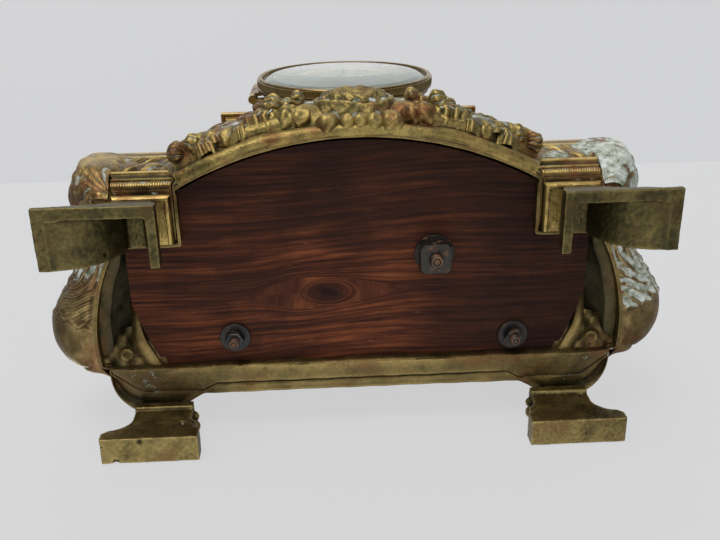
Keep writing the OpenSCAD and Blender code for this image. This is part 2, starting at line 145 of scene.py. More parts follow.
class Shape:
    """Collects grids, caps and lathes into one mesh."""

    def __init__(self):
        self.verts, self.faces, self.cav, self.count = [], [], [], 0

    def add(self, verts, faces, cav=0.0):
        verts = np.asarray(verts, float).reshape(-1, 3)
        self.verts.append(verts)
        self.faces.extend([[i + self.count for i in f] for f in faces])
        self.cav.append(np.broadcast_to(np.asarray(cav, float).ravel() if np.ndim(cav) else cav,
            (len(verts),)))
        self.count += len(verts)

    def grid(self, points, close_u=False, close_v=False, cav=0.0, flip=False):
        """points is (rows, columns, 3)."""
        nu, nv = points.shape[:2]
        iu = np.arange(nu if close_u else nu - 1)
        iv = np.arange(nv if close_v else nv - 1)
        a, b = np.meshgrid(iu, iv, indexing="ij")
        a2, b2 = (a + 1) % nu, (b + 1) % nv
        quads = np.stack([a * nv + b, a2 * nv + b, a2 * nv + b2, a * nv + b2], -1).reshape(-1, 4)
        if flip:
            quads = quads[:, ::-1]
        self.add(points.reshape(-1, 3), quads.tolist(), cav)

    def fan(self, loop, centre=None, flip=False, cav=0.0):
        """Closes a loop with triangles to its centre."""
        loop = np.asarray(loop, float)
        centre = loop.mean(0) if centre is None else np.asarray(centre, float)
        n = len(loop)
        faces = [[i, (i + 1) % n, n] if not flip else [(i + 1) % n, i, n] for i in range(n)]
        self.add(np.vstack([loop, centre]), faces, cav)

    def loft(self, loops, cap_start=True, cap_end=True, cav=0.0):
        """loops is (rows, columns, 3): closed rings stacked into a solid."""
        loops = np.asarray(loops, float)
        self.grid(loops, close_v=True, cav=cav)
        if cap_start:
            self.fan(loops[0], flip=False)
        if cap_end:
            self.fan(loops[-1], flip=True)

    def place(self, matrix):
        m = np.array(matrix)
        self.verts = [v @ m[:3, :3].T + m[:3, 3] for v in self.verts]
        return self

    def merge(self, other, matrix=None):
        m = np.eye(4) if matrix is None else np.array(matrix)
        verts = np.vstack(other.verts) @ m[:3, :3].T + m[:3, 3]
        flip = np.linalg.det(m[:3, :3]) < 0
        self.add(verts, [f[::-1] if flip else f for f in other.faces], np.concatenate(other.cav))

    def knead(self, amount):
        """Rough casting: pushes every point about a little, so nothing stays perfectly round or even."""
        for verts in self.verts:
            x, y, z = verts[:, 0].copy(), verts[:, 1].copy(), verts[:, 2].copy()
            verts[:, 0] += amount * np.sin(0.83 * y + 1.1 * z + 1.7) * np.sin(0.47 * x + 0.6)
            verts[:, 1] += amount * np.sin(0.91 * x + 0.7 * z) * np.sin(0.78 * z - 0.31 * x + 2.0)
            verts[:, 2] += amount * np.sin(1.03 * x + 0.4 * y + 0.9) * np.sin(0.66 * y + 1.3)

    def mirrored(self):
        other = Shape()
        other.merge(self, np.diag([-1.0, 1, 1, 1]))
        return other

    def piece(self, name, material, body=STAND, **kw):
        verts = np.vstack(self.verts)
        obj = add_piece(name, verts, self.faces, material, body, {"cav": np.concatenate(self.cav)}, **kw)
        weld = obj.modifiers.new("weld", "WELD")
        weld.merge_threshold = 2e-6
        return obj


def lathe(profile, n=96, ripple=None):
    """Rings of a profile [(r, z), ...] turned about Z. ripple(angle, row) adds to the radius."""
    p = np.asarray(profile, float)
    a = np.linspace(0, 2 * math.pi, n, endpoint=False)
    r = np.repeat(p[:, :1], n, 1)
    if ripple is not None:
        r = r + ripple(a[None, :], np.arange(len(p))[:, None])
    return np.stack([r * np.cos(a), r * np.sin(a), np.repeat(p[:, 1:], n, 1)], -1)


def turn_to_y(points):
    """Sends a lathe's +Z to -Y, so that its top faces the front."""
    q = np.asarray(points)
    return np.stack([q[..., 0], -q[..., 2], q[..., 1]], -1)


def rot_z(a):
    return np.array(Matrix.Rotation(a, 4, "Z"))


def rot_x(a):
    return np.array(Matrix.Rotation(a, 4, "X"))


def rot_y(a):
    return np.array(Matrix.Rotation(a, 4, "Y"))


def move(x, y, z):
    return np.array(Matrix.Translation((x, y, z)))


# ---------------------------------------------------------------- materials
class Nodes:
    """Short calls for building a material's node tree."""

    def __init__(self, name):
        self.mat = bpy.data.materials.new(name)
        self.mat.use_nodes = True
        self.tree = self.mat.node_tree
        self.bsdf = self.tree.nodes["Principled BSDF"]
        self.coord = self.new("ShaderNodeTexCoord").outputs["Object"]

    def new(self, kind, **props):
        node = self.tree.nodes.new(kind)
        for key, value in props.items():
            setattr(node, key, value)
        return node

    def put(self, value, socket):
        if isinstance(value, bpy.types.NodeSocket):
            self.tree.links.new(value, socket)
        elif value is not None:
            socket.default_value = value

    def stretch(self, sx, sy, sz, source=None):
        node = self.new("ShaderNodeMapping")
        self.put(source or self.coord, node.inputs["Vector"])
        node.inputs["Scale"].default_value = (sx, sy, sz)
        return node.outputs["Vector"]

    def noise(self, scale, detail=3.0, rough=0.55, vector=None, distortion=0.0):
        node = self.new("ShaderNodeTexNoise")
        self.put(vector or self.coord, node.inputs["Vector"])
        node.inputs["Scale"].default_value = scale
        node.inputs["Detail"].default_value = detail
        node.inputs["Roughness"].default_value = rough
        node.inputs["Distortion"].default_value = distortion
        return node.outputs["Fac"]

    def cells(self, scale, vector=None, feature="F1"):
        node = self.new("ShaderNodeTexVoronoi", feature=feature)
        self.put(vector or self.coord, node.inputs["Vector"])
        node.inputs["Scale"].default_value = scale
        return node.outputs["Distance"]

    def ramp(self, value, stops):
        """stops is [(position, grey or colour), ...]."""
        node = self.new("ShaderNodeValToRGB")
        self.put(value, node.inputs["Fac"])
        points = node.color_ramp.elements
        while len(points) < len(stops):
            points.new(0.5)
        for point, (position, colour) in zip(points, stops):
            point.position = position
            point.color = (colour, colour, colour, 1) if isinstance(colour, (int, float)) else (*colour, 1)
        return node.outputs["Color"]

    def math(self, op, a, b=None, clamp=False):
        node = self.new("ShaderNodeMath", operation=op, use_clamp=clamp)
        self.put(a, node.inputs[0])
        self.put(b, node.inputs[1])
        return node.outputs[0]

    def mix(self, fac, a, b, mode="MIX"):
        node = self.new("ShaderNodeMix", data_type="RGBA", blend_type=mode)
        self.put(fac, node.inputs["Factor"])
        for value, socket in ((a, node.inputs[6]), (b, node.inputs[7])):
            self.put((*value, 1) if isinstance(value, tuple) and len(value) == 3 else value, socket)
        return node.outputs[2]

    def attribute(self, name):
        return self.new("ShaderNodeAttribute", attribute_name=name).outputs["Fac"]

    def pointiness(self):
        return self.new("ShaderNodeNewGeometry").outputs["Pointiness"]

    def bump(self, height, strength, distance, normal=None):
        node = self.new("ShaderNodeBump")
        self.put(height, node.inputs["Height"])
        self.put(normal, node.inputs["Normal"])
        node.inputs["Strength"].default_value = strength
        node.inputs["Distance"].default_value = distance
        return node.outputs["Normal"]

    def finish(self, **sockets):
        for key, value in sockets.items():
            name = key.replace("_", " ")
            if name == "Base Color" and isinstance(value, tuple) and len(value) == 3:
                value = (*value, 1)
            self.put(value, self.bsdf.inputs[name])
        return self.mat


def cast_brass(name, gold=(0.40, 0.27, 0.085), olive=(0.145, 0.105, 0.034), dark=(0.035, 0.027, 0.012),
               copper=(0.22, 0.085, 0.032), verdigris=0.0, rough=0.34, grain=0.5, pale=0.5):
    """Aged cast brass: rubbed gold, olive tarnish, copper patches, verdigris where cav is high, and painted
    shade where cav is negative.
    """
    m = Nodes(name)
    tone = m.noise(38, 5, 0.6)
    mottle = m.noise(170, 4, 0.6)
    fine = m.noise(900, 3, 0.6)
    marks = m.attribute("cav")
    # negative cav marks painted shade
    shade_mask = m.math("MULTIPLY", marks, -1.0, True)
    cav = m.math("MAXIMUM", marks, 0.0)
    edge = m.ramp(m.pointiness(), [(0.455, 0.0), (0.50, 0.42), (0.56, 1.0)])
    wear = m.math("ADD", m.math("MULTIPLY", tone, 0.55), m.math("MULTIPLY", mottle, 0.45))
    wear = m.math("ADD", wear, m.math("MULTIPLY", m.math("SUBTRACT", edge, 0.42), 0.55))
    wear = m.math("SUBTRACT", wear, m.math("MULTIPLY", cav, 0.30))
    colour = m.ramp(wear, [(0.26, dark), (0.43, olive), (0.60, gold),
        (0.80, tuple(min(1, 1.35 * c) for c in gold))])
    red = m.ramp(m.noise(64, 3, 0.5, m.stretch(1, 1.3, 0.8)), [(0.52, 0.0), (0.66, 0.75)])
    colour = m.mix(red, colour, copper)
    speck = m.ramp(fine, [(0.30, 0.45), (0.48, 1.0)])
    colour = m.mix(m.math("MULTIPLY", m.math("SUBTRACT", 1.0, speck), 0.8), colour, dark)
    crust_mask = m.math("ADD", m.math("MULTIPLY", cav, 1.25), m.math("MULTIPLY", m.noise(260, 5, 0.75),
        1.0))
    crust_mask = m.ramp(m.math("SUBTRACT", crust_mask, 1.02 - verdigris), [(0.0, 0.0), (0.16, 1.0)])
    crust = m.mix(m.ramp(m.noise(230, 5, 0.7), [(0.36, 0.0), (0.62, 1.0)]), (0.16, 0.18, 0.10),
        (0.50 + 0.2 * pale, 0.58 + 0.12 * pale, 0.52 + 0.14 * pale))
    colour = m.mix(crust_mask, colour, crust)
    roughness = m.math("ADD", m.math("MULTIPLY", mottle, 0.28), rough - 0.10)
    roughness = m.math("ADD", roughness, m.math("ADD", m.math("MULTIPLY", crust_mask, 0.40),
        m.math("MULTIPLY", shade_mask, 0.35)))
    metal = m.math("SUBTRACT", 1.0, m.math("MULTIPLY", crust_mask, 0.96))
    metal = m.math("SUBTRACT", metal, m.math("ADD", m.math("MULTIPLY", cav, 0.9),
        m.math("MULTIPLY", shade_mask, 0.8)), True)
    # painted shade: where cav is negative, on the inner walls of the base's side hollows, the colour goes
    # dark, rough and less metallic
    painted_shade = m.mix(m.ramp(m.noise(60, 5, 0.65), [(0.40, 0.0), (0.62, 1.0)]), (0.016, 0.014, 0.008),
        (0.088, 0.074, 0.040))
    colour = m.mix(m.math("MULTIPLY", shade_mask, 0.92), colour, painted_shade)
    height = m.math("ADD", m.math("MULTIPLY", mottle, 0.7), m.math("MULTIPLY", fine, 0.35))
    height = m.math("ADD", height, m.math("MULTIPLY", crust_mask, 0.35))
    normal = m.bump(height, grain, 0.0009)
    return m.finish(Base_Color=colour, Roughness=roughness, Metallic=metal, Normal=normal,
        Specular_IOR_Level=0.2)


def turned_brass(name, colour=(0.62, 0.43, 0.15), axis_scale=(1, 900, 1), rough=0.26):
    """Lacquered, lathe-turned brass with fine rings and a few brown spots."""
    m = Nodes(name)
    rings = m.noise(1.0, 3, 0.6, m.stretch(*[s for s in axis_scale]))
    spots = m.ramp(m.noise(95, 5, 0.6), [(0.52, 0.0), (0.72, 0.85)])
    tint = m.mix(m.noise(30, 3), colour, tuple(c * 0.72 for c in colour))
    tint = m.mix(spots, tint, (0.10, 0.058, 0.022))
    roughness = m.math("ADD", m.math("MULTIPLY", rings, 0.16),
        m.math("ADD", m.math("MULTIPLY", spots, 0.2), rough - 0.06))
    normal = m.bump(m.math("ADD", rings, m.math("MULTIPLY", m.noise(600, 2), 0.5)), 0.25, 0.0004)
    return m.finish(Base_Color=tint, Roughness=roughness, Metallic=1.0, Normal=normal)


def old_iron(name, colour=(0.060, 0.050, 0.040), rust=0.5):
    m = Nodes(name)
    flake = m.noise(420, 5, 0.65)
    patches = m.ramp(m.noise(240, 4, 0.6), [(0.62 - 0.25 * rust, 0.0), (0.72 - 0.15 * rust, 1.0)])
    tint = m.mix(patches, colour, m.mix(m.noise(800, 3), (0.085, 0.036, 0.016), (0.20, 0.092, 0.040)))
    shine = m.ramp(m.pointiness(), [(0.54, 0.0), (0.64, 1.0)])
    tint = m.mix(m.math("MULTIPLY", shine, 0.30), tint, (0.34, 0.31, 0.27))
    roughness = m.ramp(patches, [(0.0, 0.42), (1.0, 0.78)])
    metal = m.ramp(patches, [(0.0, 0.75), (1.0, 0.1)])
    return m.finish(Base_Color=tint, Roughness=roughness, Metallic=metal, Normal=m.bump(flake, 0.6, 0.0006))


def stained_pine(name):
    """Red-brown stained pine: the grain field is carried by the mesh, bent round the knot."""
    m = Nodes(name)
    across, along, knot = m.attribute("across"), m.attribute("along"), m.attribute("knot")
    vector = m.new("ShaderNodeCombineXYZ")
    m.put(across, vector.inputs[0])
    m.put(m.math("MULTIPLY", along, 0.035), vector.inputs[1])
    field = vector.outputs[0]
    wide = m.noise(0.16, 3, 0.5, field)
    rings = m.noise(0.62, 4, 0.62, field, 0.25)
    fibre = m.new("ShaderNodeCombineXYZ")
    m.put(m.math("MULTIPLY", across, 4.2), fibre.inputs[0])
    m.put(m.math("MULTIPLY", along, 0.16), fibre.inputs[1])
    fibres = m.noise(1.0, 4, 0.65, fibre.outputs[0])
    stain = m.noise(20, 4, 0.55)
    colour = m.ramp(rings, [(0.34, (0.042, 0.0125, 0.0068)), (0.47, (0.130, 0.035, 0.0145)),
                            (0.58, (0.250, 0.070, 0.024)), (0.72, (0.38, 0.120, 0.040))])
    colour = m.mix(m.ramp(wide, [(0.36, 0.7), (0.60, 0.0)]), colour, (0.032, 0.010, 0.0062))
    colour = m.mix(m.ramp(stain, [(0.40, 0.72), (0.62, 0.0)]), colour, (0.020, 0.0082, 0.0060))
    colour = m.mix(m.ramp(fibres, [(0.30, 0.60), (0.52, 0.0)]), colour, (0.024, 0.009, 0.0055))
    colour = m.mix(m.math("MULTIPLY", knot, 0.88, True), colour, (0.016, 0.0075, 0.0062))
    colour = m.mix(m.ramp(m.noise(330, 3, 0.7, m.stretch(0.25, 1, 1)), [(0.69, 0.0), (0.76, 0.35)]),
        colour, (0.30, 0.125, 0.05))
    # painted shade: the colour darkens with distance from a point near the middle, most towards the rim,
    # where the front rim shades the board
    offset_from_centre = m.new("ShaderNodeVectorMath")
    offset_from_centre.operation = "SUBTRACT"
    m.put(m.stretch(1.0, 1.55, 0.0), offset_from_centre.inputs[0])
    offset_from_centre.inputs[1].default_value = (-0.028, 0.026, 0.0)
    reach = m.new("ShaderNodeVectorMath")
    reach.operation = "LENGTH"
    m.put(offset_from_centre.outputs[0], reach.inputs[0])
    painted_shade = m.new("ShaderNodeMapRange")
    m.put(m.math("ADD", reach.outputs["Value"], m.math("MULTIPLY", m.math("SUBTRACT", stain, 0.5), 0.05)),
        painted_shade.inputs[0])
    for index, value in ((1, 0.036), (2, 0.112), (3, 0.0), (4, 0.84)):
        painted_shade.inputs[index].default_value = value
    # painted shade towards the rim
    colour = m.mix(painted_shade.outputs[0], colour, (0.012, 0.0062, 0.0048))
    height = m.math("ADD", m.math("MULTIPLY", rings, 0.6), m.math("MULTIPLY", fibres, 0.5))
    roughness = m.ramp(fibres, [(0.3, 0.70), (0.7, 0.50)])
    return m.finish(Base_Color=colour, Roughness=roughness, Metallic=0.0, Normal=m.bump(height, 0.5,
        0.0006),
                    Specular_IOR_Level=0.08)


def clear_glass(name):
    m = Nodes(name)
    smear = m.ramp(m.noise(55, 4, 0.6), [(0.35, 0.02), (0.75, 0.10)])
    haze = m.ramp(m.noise(26, 4, 0.6), [(0.3, 0.84), (0.7, 0.94)])
    return m.finish(Base_Color=(0.78, 0.86, 0.78), Roughness=smear, Transmission_Weight=haze, IOR=1.3,
        Metallic=0.0,
                    Normal=m.bump(m.noise(40, 2), 0.02, 0.0005))


def glazed(name, colour=(0.86, 0.85, 0.80), stain=(0.30, 0.29, 0.33)):
    """White glazed earthenware with fine crackle and old ink at the bottom."""
    m = Nodes(name)
    crackle = m.ramp(m.cells(170, m.coord, "DISTANCE_TO_EDGE"), [(0.0, 1.0), (0.05, 0.0)])
    tint = m.mix(m.noise(40, 4), colour, tuple(c * 0.88 for c in colour))
    tint = m.mix(m.math("MULTIPLY", crackle, 0.30), tint, stain)
    tint = m.mix(m.math("MULTIPLY", m.attribute("cav"), 0.95, True), tint, (0.012, 0.014, 0.035))
    return m.finish(Base_Color=tint, Roughness=m.ramp(m.noise(120, 3), [(0.3, 0.10), (0.8, 0.22)]),
        Coat_Weight=0.5)


def silvered(name):
    """A silvered dial: fine circular brushing, tarnish in patches, and figures from the mesh's own paint
    mask.
    """
    m = Nodes(name)
    brush = m.noise(1.0, 3, 0.6, m.stretch(700, 5, 700))
    age = m.ramp(m.noise(60, 5, 0.6), [(0.45, 0.0), (0.78, 0.5)])
    tint = m.mix(age, (0.78, 0.77, 0.71), (0.44, 0.39, 0.29))
    tint = m.mix(m.math("MULTIPLY", m.attribute("cav"), 1.0, True), tint, (0.02, 0.02, 0.025))
    rough = m.math("ADD", m.math("MULTIPLY", brush, 0.15), 0.33)
    return m.finish(Base_Color=tint, Roughness=rough, Metallic=0.55, Normal=m.bump(brush, 0.12, 0.0003))


def blued(name, colour=(0.020, 0.030, 0.095)):
    m = Nodes(name)
    tint = m.mix(m.noise(150, 3), colour, (0.045, 0.030, 0.075))
    return m.finish(Base_Color=tint, Roughness=m.ramp(m.noise(500, 3), [(0.3, 0.22), (0.7, 0.34)]),
        Metallic=0.9,
                    Normal=m.bump(m.noise(900, 2), 0.1, 0.0002))




BRASS_ORNAMENT = cast_brass("ornament_brass", gold=(0.32, 0.235, 0.080), olive=(0.115, 0.090, 0.032),
    copper=(0.16, 0.062, 0.028), verdigris=0.10, rough=0.43,
                            grain=0.9, pale=0.6)
BRASS_BASE = cast_brass("base_brass", gold=(0.205, 0.148, 0.056), olive=(0.108, 0.083, 0.033),
    copper=(0.13, 0.068, 0.028), rough=0.40, grain=0.45)
BRASS_SCROLL = cast_brass("scroll_brass", gold=(0.33, 0.235, 0.10), olive=(0.15, 0.10, 0.042),
    copper=(0.165, 0.082, 0.038), verdigris=0.14, rough=0.36, grain=0.35, pale=0.7)
BRASS_PLINTH = cast_brass("plinth_brass", gold=(0.41, 0.295, 0.10), olive=(0.17, 0.105, 0.04),
    copper=(0.20, 0.085, 0.035), verdigris=0.14, rough=0.41, grain=0.6, pale=0.5)
BRASS_REAR = cast_brass("rear_foot_brass", gold=(0.28, 0.21, 0.078), olive=(0.15, 0.115, 0.042),
    copper=(0.15, 0.085, 0.035), rough=0.36, grain=0.5)
BRASS_FOOT = cast_brass("foot_brass", gold=(0.150, 0.118, 0.044), olive=(0.062, 0.053, 0.022),
    copper=(0.09, 0.060, 0.025), rough=0.42, grain=0.6)
BEZEL_BRASS = turned_brass("bezel_brass", (0.26, 0.185, 0.075), rough=0.30)
TURNED_PLATE = turned_brass("plate_brass", axis_scale=(500, 1, 60))
IRON = old_iron("old_iron", (0.034, 0.030, 0.024), rust=0.40)
RUSTY = old_iron("rusty_iron", rust=1.0)
BLACK_IRON = old_iron("black_iron", (0.022, 0.021, 0.020), rust=0.15)
PINE = stained_pine("stained_pine")
GLASS = clear_glass("bevelled_glass")
GLAZE = glazed("white_glaze")
DIAL = silvered("silvered_dial")
BLUE = blued("blued_steel")
STEEL = old_iron("steel", (0.36, 0.36, 0.37), rust=0.1)
BRASS_PLAIN = cast_brass("plain_brass", gold=(0.38, 0.26, 0.09), olive=(0.20, 0.14, 0.05), rough=0.33,
    grain=0.25)
GILT = cast_brass("gilt", gold=(0.72, 0.52, 0.20), olive=(0.42, 0.30, 0.11), copper=(0.40, 0.24, 0.09),
    rough=0.28, grain=0.15)
TURNED_DRUM = turned_brass("drum_brass", (0.46, 0.33, 0.13), (1, 700, 1), 0.3)
BLACK_ENAMEL = glazed("black_enamel", (0.018, 0.018, 0.022), (0.05, 0.05, 0.05))
INK = glazed("ink", (0.006, 0.007, 0.018), (0.01, 0.01, 0.02))


# ------------------------------ CAD nodes that stay: softened edges and better materials
def soften(node, material, width=0.0004, angle=28, segments=2):
    """Rounds a CAD node's edges with modifiers, which leave its own mesh as packed."""
    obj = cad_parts[node]
    obj.data.materials.clear()
    obj.data.materials.append(material)
    weld = obj.modifiers.new("weld", "WELD")
    weld.merge_threshold = 1e-5
    flat = obj.modifiers.new("flat", "DECIMATE")
    flat.decimate_type = "DISSOLVE"
    flat.angle_limit = math.radians(0.6)
    bevel = obj.modifiers.new("bevel", "BEVEL")
    bevel.width = width
    bevel.segments = segments
    bevel.limit_method = "ANGLE"
    bevel.angle_limit = math.radians(angle)
    bevel.harden_normals = True
    return obj




# ------------------------------ plan of the base, as radii seen from its centre
def leave_disc(u, centre, radius):
    """Distance along each ray u from the origin to where it leaves a disc, or nan."""
    c = np.asarray(centre, float)
    along = u @ c
    inside = along**2 - c @ c + radius**2
    with np.errstate(invalid="ignore"):
        return along + np.sqrt(inside)


def rays(angles):
    return np.stack([np.cos(angles), np.sin(angles)], -1)


def plan_radius(angles, inset=0.0, notch=0.0):
    """Outline of the bowed base, inset by some millimetres. notch pulls it back from the corner plinths."""
    u = rays(angles)
    ax, uy = np.abs(u[:, 0]), u[:, 1]
    right = np.stack([ax, uy], -1)
    with np.errstate(divide="ignore", invalid="ignore"):
        body = np.fmin(leave_disc(right, (0, BOW_CY), BOW_R - inset), (104 - inset) / ax)
        body = np.where(uy > 0, np.fmin(body, (58 - inset) / uy), body)
        side = leave_disc(right, SIDE_CENTRE, SIDE_R - inset)
        side = np.where((side * ax >= 88) & (side * uy < 43.5) & (side * uy > -30), side, 0)
        corner = leave_disc(right, (93, 48), 20 - inset)
        r = np.fmax(np.fmax(body, side), np.nan_to_num(corner))
        entry = np.fmax((76.5 - notch) / ax, (-14.5 + notch) / np.where(uy < 0, uy, np.nan))
    return np.where(uy < 0, np.fmin(r, np.nan_to_num(entry, nan=1e9)), r)


SIDE_CENTRE, SIDE_R = (24.4, 33.0), 93.1


def opening_radius(angles):
    """Edge of the opening underneath: a thin rim round the sides, a wide rail along the back."""
    u = rays(angles)
    ax, uy = np.abs(u[:, 0]), u[:, 1]
    side = smoothstep(96, 103, ax * plan_radius(angles)) * smoothstep(-18, -12, uy * plan_radius(angles))
    r = plan_radius(angles, 4.0, 1.4) + 2.4 * side
    with np.errstate(divide="ignore", invalid="ignore"):
        r = np.where(uy > 0, np.fmin(r, 44 / uy), r)
    return r + 1.4 * smoothstep(-5, -25, uy * r) * (np.abs(u[:, 0] * r) < 75)


def soft_loop(r, passes):
    """Rounds the corners of a closed loop of radii."""
    for _ in range(passes):
        r = 0.25 * np.roll(r, 1) + 0.5 * r + 0.25 * np.roll(r, -1)
    return r


def bow_swell(z):
    """How far the bowed front stands out past its rim at a height."""
    return np.interp(z, [27, 32, 37, 45, 54, 61, 69, 75], [0, 0, 5, 8.5, 7, 3, 0, 0])


BOW_HALF = math.asin(76.3 / (BOW_R + 4))


def build_base():
    """The hollow casting: thin lips at the sides and front, a flat rail along the back, walls and deck."""
    n = 1080
    angles = np.linspace(0, 2 * math.pi, n, endpoint=False)
    u = rays(angles)
    outer = soft_loop(plan_radius(angles, 0, 0.1), 2)
    inner = soft_loop(opening_radius(angles), 3)
    x, y = u[:, 0] * outer, u[:, 1] * outer
    room = np.fmin(soft_loop(plan_radius(angles, 5.5, 3.0), 2), outer - 3)
    hollow = smoothstep(99, 106, np.abs(x)) * smoothstep(-16, -2, y) * smoothstep(46, 36, y)
    front = (y < 0) & (np.abs(x) < 76.2)
    rows = []
    for z in (69, 66, 63, 60, 56, 52, 47, 43, 40, 37, 35, 33.5):
        belly = -1.0 - 25 * smoothstep(36, 66, z) ** 1.2
        rows.append((np.fmax(room, inner * 0.985) * (1 - hollow) + (outer - 5.5 + belly) * hollow, z))
    rows += [(inner + 0.2, 32.6), (inner, 31.5), (inner, 29.2), (inner + 0.25, 28.0), (inner + 0.8, 27.3)]
    corner = smoothstep(96, 104, np.hypot(x, y - 20)) * smoothstep(46, 52, y) * smoothstep(84, 92,
        np.abs(x))
    # the groove between the flat underside and the rolled edge runs straight behind the board and cuts
    # the corners
    with np.errstate(divide="ignore", invalid="ignore"):
        line = np.where(u[:, 1] > 0, (53.0 + 3.0 * smoothstep(70, 86, np.abs(x))) / u[:, 1], 1e9)
    line = np.fmin(line, np.where(u[:, 1] > 0, 139 / (0.83 * np.abs(u[:, 0]) + np.abs(u[:, 1])), 1e9))
    split = soft_loop(np.where(y > 40, np.clip((line - inner) / (outer - inner), 0.2, 0.85), 0.64), 6)
    for f in (0.05, 0.15, 0.3, 0.42, 0.5, 0.57, 0.61, 0.64, 0.67, 0.74, 0.82, 0.88, 0.92, 0.95):
        groove = 0.8 * bump(f, 0.64, 0.03) + corner * (2.6 * smoothstep(0.55, 0.9,
            f) ** 2 - 1.6 * smoothstep(0.9, 0.95, f))
        at = f * split / 0.64 if f <= 0.64 else split + (f - 0.64) * (1 - split) / 0.36
        rows.append((inner + (outer - inner) * at, 27.05 + groove))
    rows += [(outer - 0.9, 27.1), (outer - 0.3, 27.4), (outer, 28.1), (outer, 29.6), (outer - 0.9, 30.1),
        (outer - 1.1, 30.8),
             (outer - 0.4, 31.4), (outer - 0.5, 32.4), (outer - 1.4, 33.2), (outer - 2.4, 34.2)]
    wall_row = len(rows)
    rows += [(outer - 2.5, z) for z in (37, 41, 45, 50, 55, 60, 64)]
    rows += [(outer - 2.3, 66.2), (outer - 1.4, 67.3), (outer - 0.3, 68.2), (outer - 0.2, 69.4),
        (outer, 69.9), (outer, 72.6),
             (outer - 0.5, 73.8), (outer - 1.6, 74.7), (outer - 3.2, DECK_Z)]
    loops = []
    for k, (r, z) in enumerate(rows):
        height = z + np.zeros(n)
        swell = np.where(front, bow_swell(height), 0) if k >= wall_row - 6 else 0
        radius = r + swell
        loops.append(np.stack([u[:, 0] * radius, u[:, 1] * radius, height], -1))
    loops = np.array(loops)
    px, py, pz = loops[..., 0], loops[..., 1], loops[..., 2]
    wander = 0.3 * np.sin(px * 0.11 + 1.3) * np.sin(py * 0.17) + 0.16 * np.sin(px * 0.41 + py * 0.33)
    low = smoothstep(33, 27.5, pz)
    loops[..., 2] += (wander + 0.3) * low
    rear_corner = smoothstep(78, 96, np.abs(px)) * smoothstep(20, 42, py)
    inside = (np.arange(len(rows)) < 12)[:, None]
    side_wall = (np.arange(len(rows)) < 12)[:, None] * (np.abs(px) > 96)
    loops[..., :2] *= (1 + side_wall * 0.003 * np.sin(pz * 0.5 + py * 0.21)
        * np.sin(py * 0.16 + pz * 0.1))[..., None]
    # negative cav on the inner walls of the side hollows, where the brass material paints shade
    cav = 0.34 * rear_corner * low + 0.16 * smoothstep(40, 48,
        py) * low * (0.5 + 0.5 * np.sin(px * 0.09 + 2)) - smoothstep(92, 100, np.abs(px)) * inside
    shape = Shape()
    shape.loft(loops, cav=cav)
    for s in (1, -1):
        # a thick rib on each side that the board's edge lies against, wide at the back, and stepped
        # bosses at its rear end
        path = spline([(90.0, 45.0), (97.4, 28), (103.4, 8), (104.4, -13)], 40)
        along = np.linspace(0, 1, 40)
        normal = np.stack([np.gradient(path[:, 1]), -np.gradient(path[:, 0])], -1)
        out = path - (1.8 + 6.2 * (1 - along) ** 1.5)[:, None] * normal / np.linalg.norm(normal, axis=1)[:,
            None]
        foot = 30.6 + 32 * smoothstep(0.25, 0.8, along)
        ring = []
        for mix, z in ((0, foot + 0.8), (0, foot + 34), (1, foot + 34), (1, foot + 3.4),
                (0.86, foot + 1.2), (0.55, foot), (0.2, foot)):
            p = path * (1 - mix) + out * mix
            ring.append(np.stack([s * p[:, 0], p[:, 1], np.minimum(z, 68)], -1))
        shape.grid(np.array(ring), close_u=True, flip=s > 0, cav=0.1)
        edge = spline([(88, 45, 31.5), (96, 32, 34.5), (104, 29, 40), (112.5, 32, 39), (115.5, 38, 34),
            (113.5, 45, 30.5)], 72, closed=True)
        f = np.linspace(0, 1, 16)[:, None, None]
        web = edge * f + np.array([104.5, 40, 32.6]) * (1 - f)
        web[..., 2] += 0.7 * np.sin(web[..., 0] * 0.9) * np.sin(web[..., 1] * 0.75 + 1)
        shape.grid(web * [s, 1, 1], close_v=True, cav=0.14)
        profile = [(1.2, 34.4), (1.5, 32.3), (2.6, 31.9), (3.2, 32.4), (3.4, 40)]
        shape.grid(lathe(profile, 40) + [s * 105.5, 39.5, 0], close_v=True, cav=0.2)
    obj = shape.piece("base_shell", BRASS_BASE, slot="cast_brass")
    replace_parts(obj, "base_casting")
    return obj


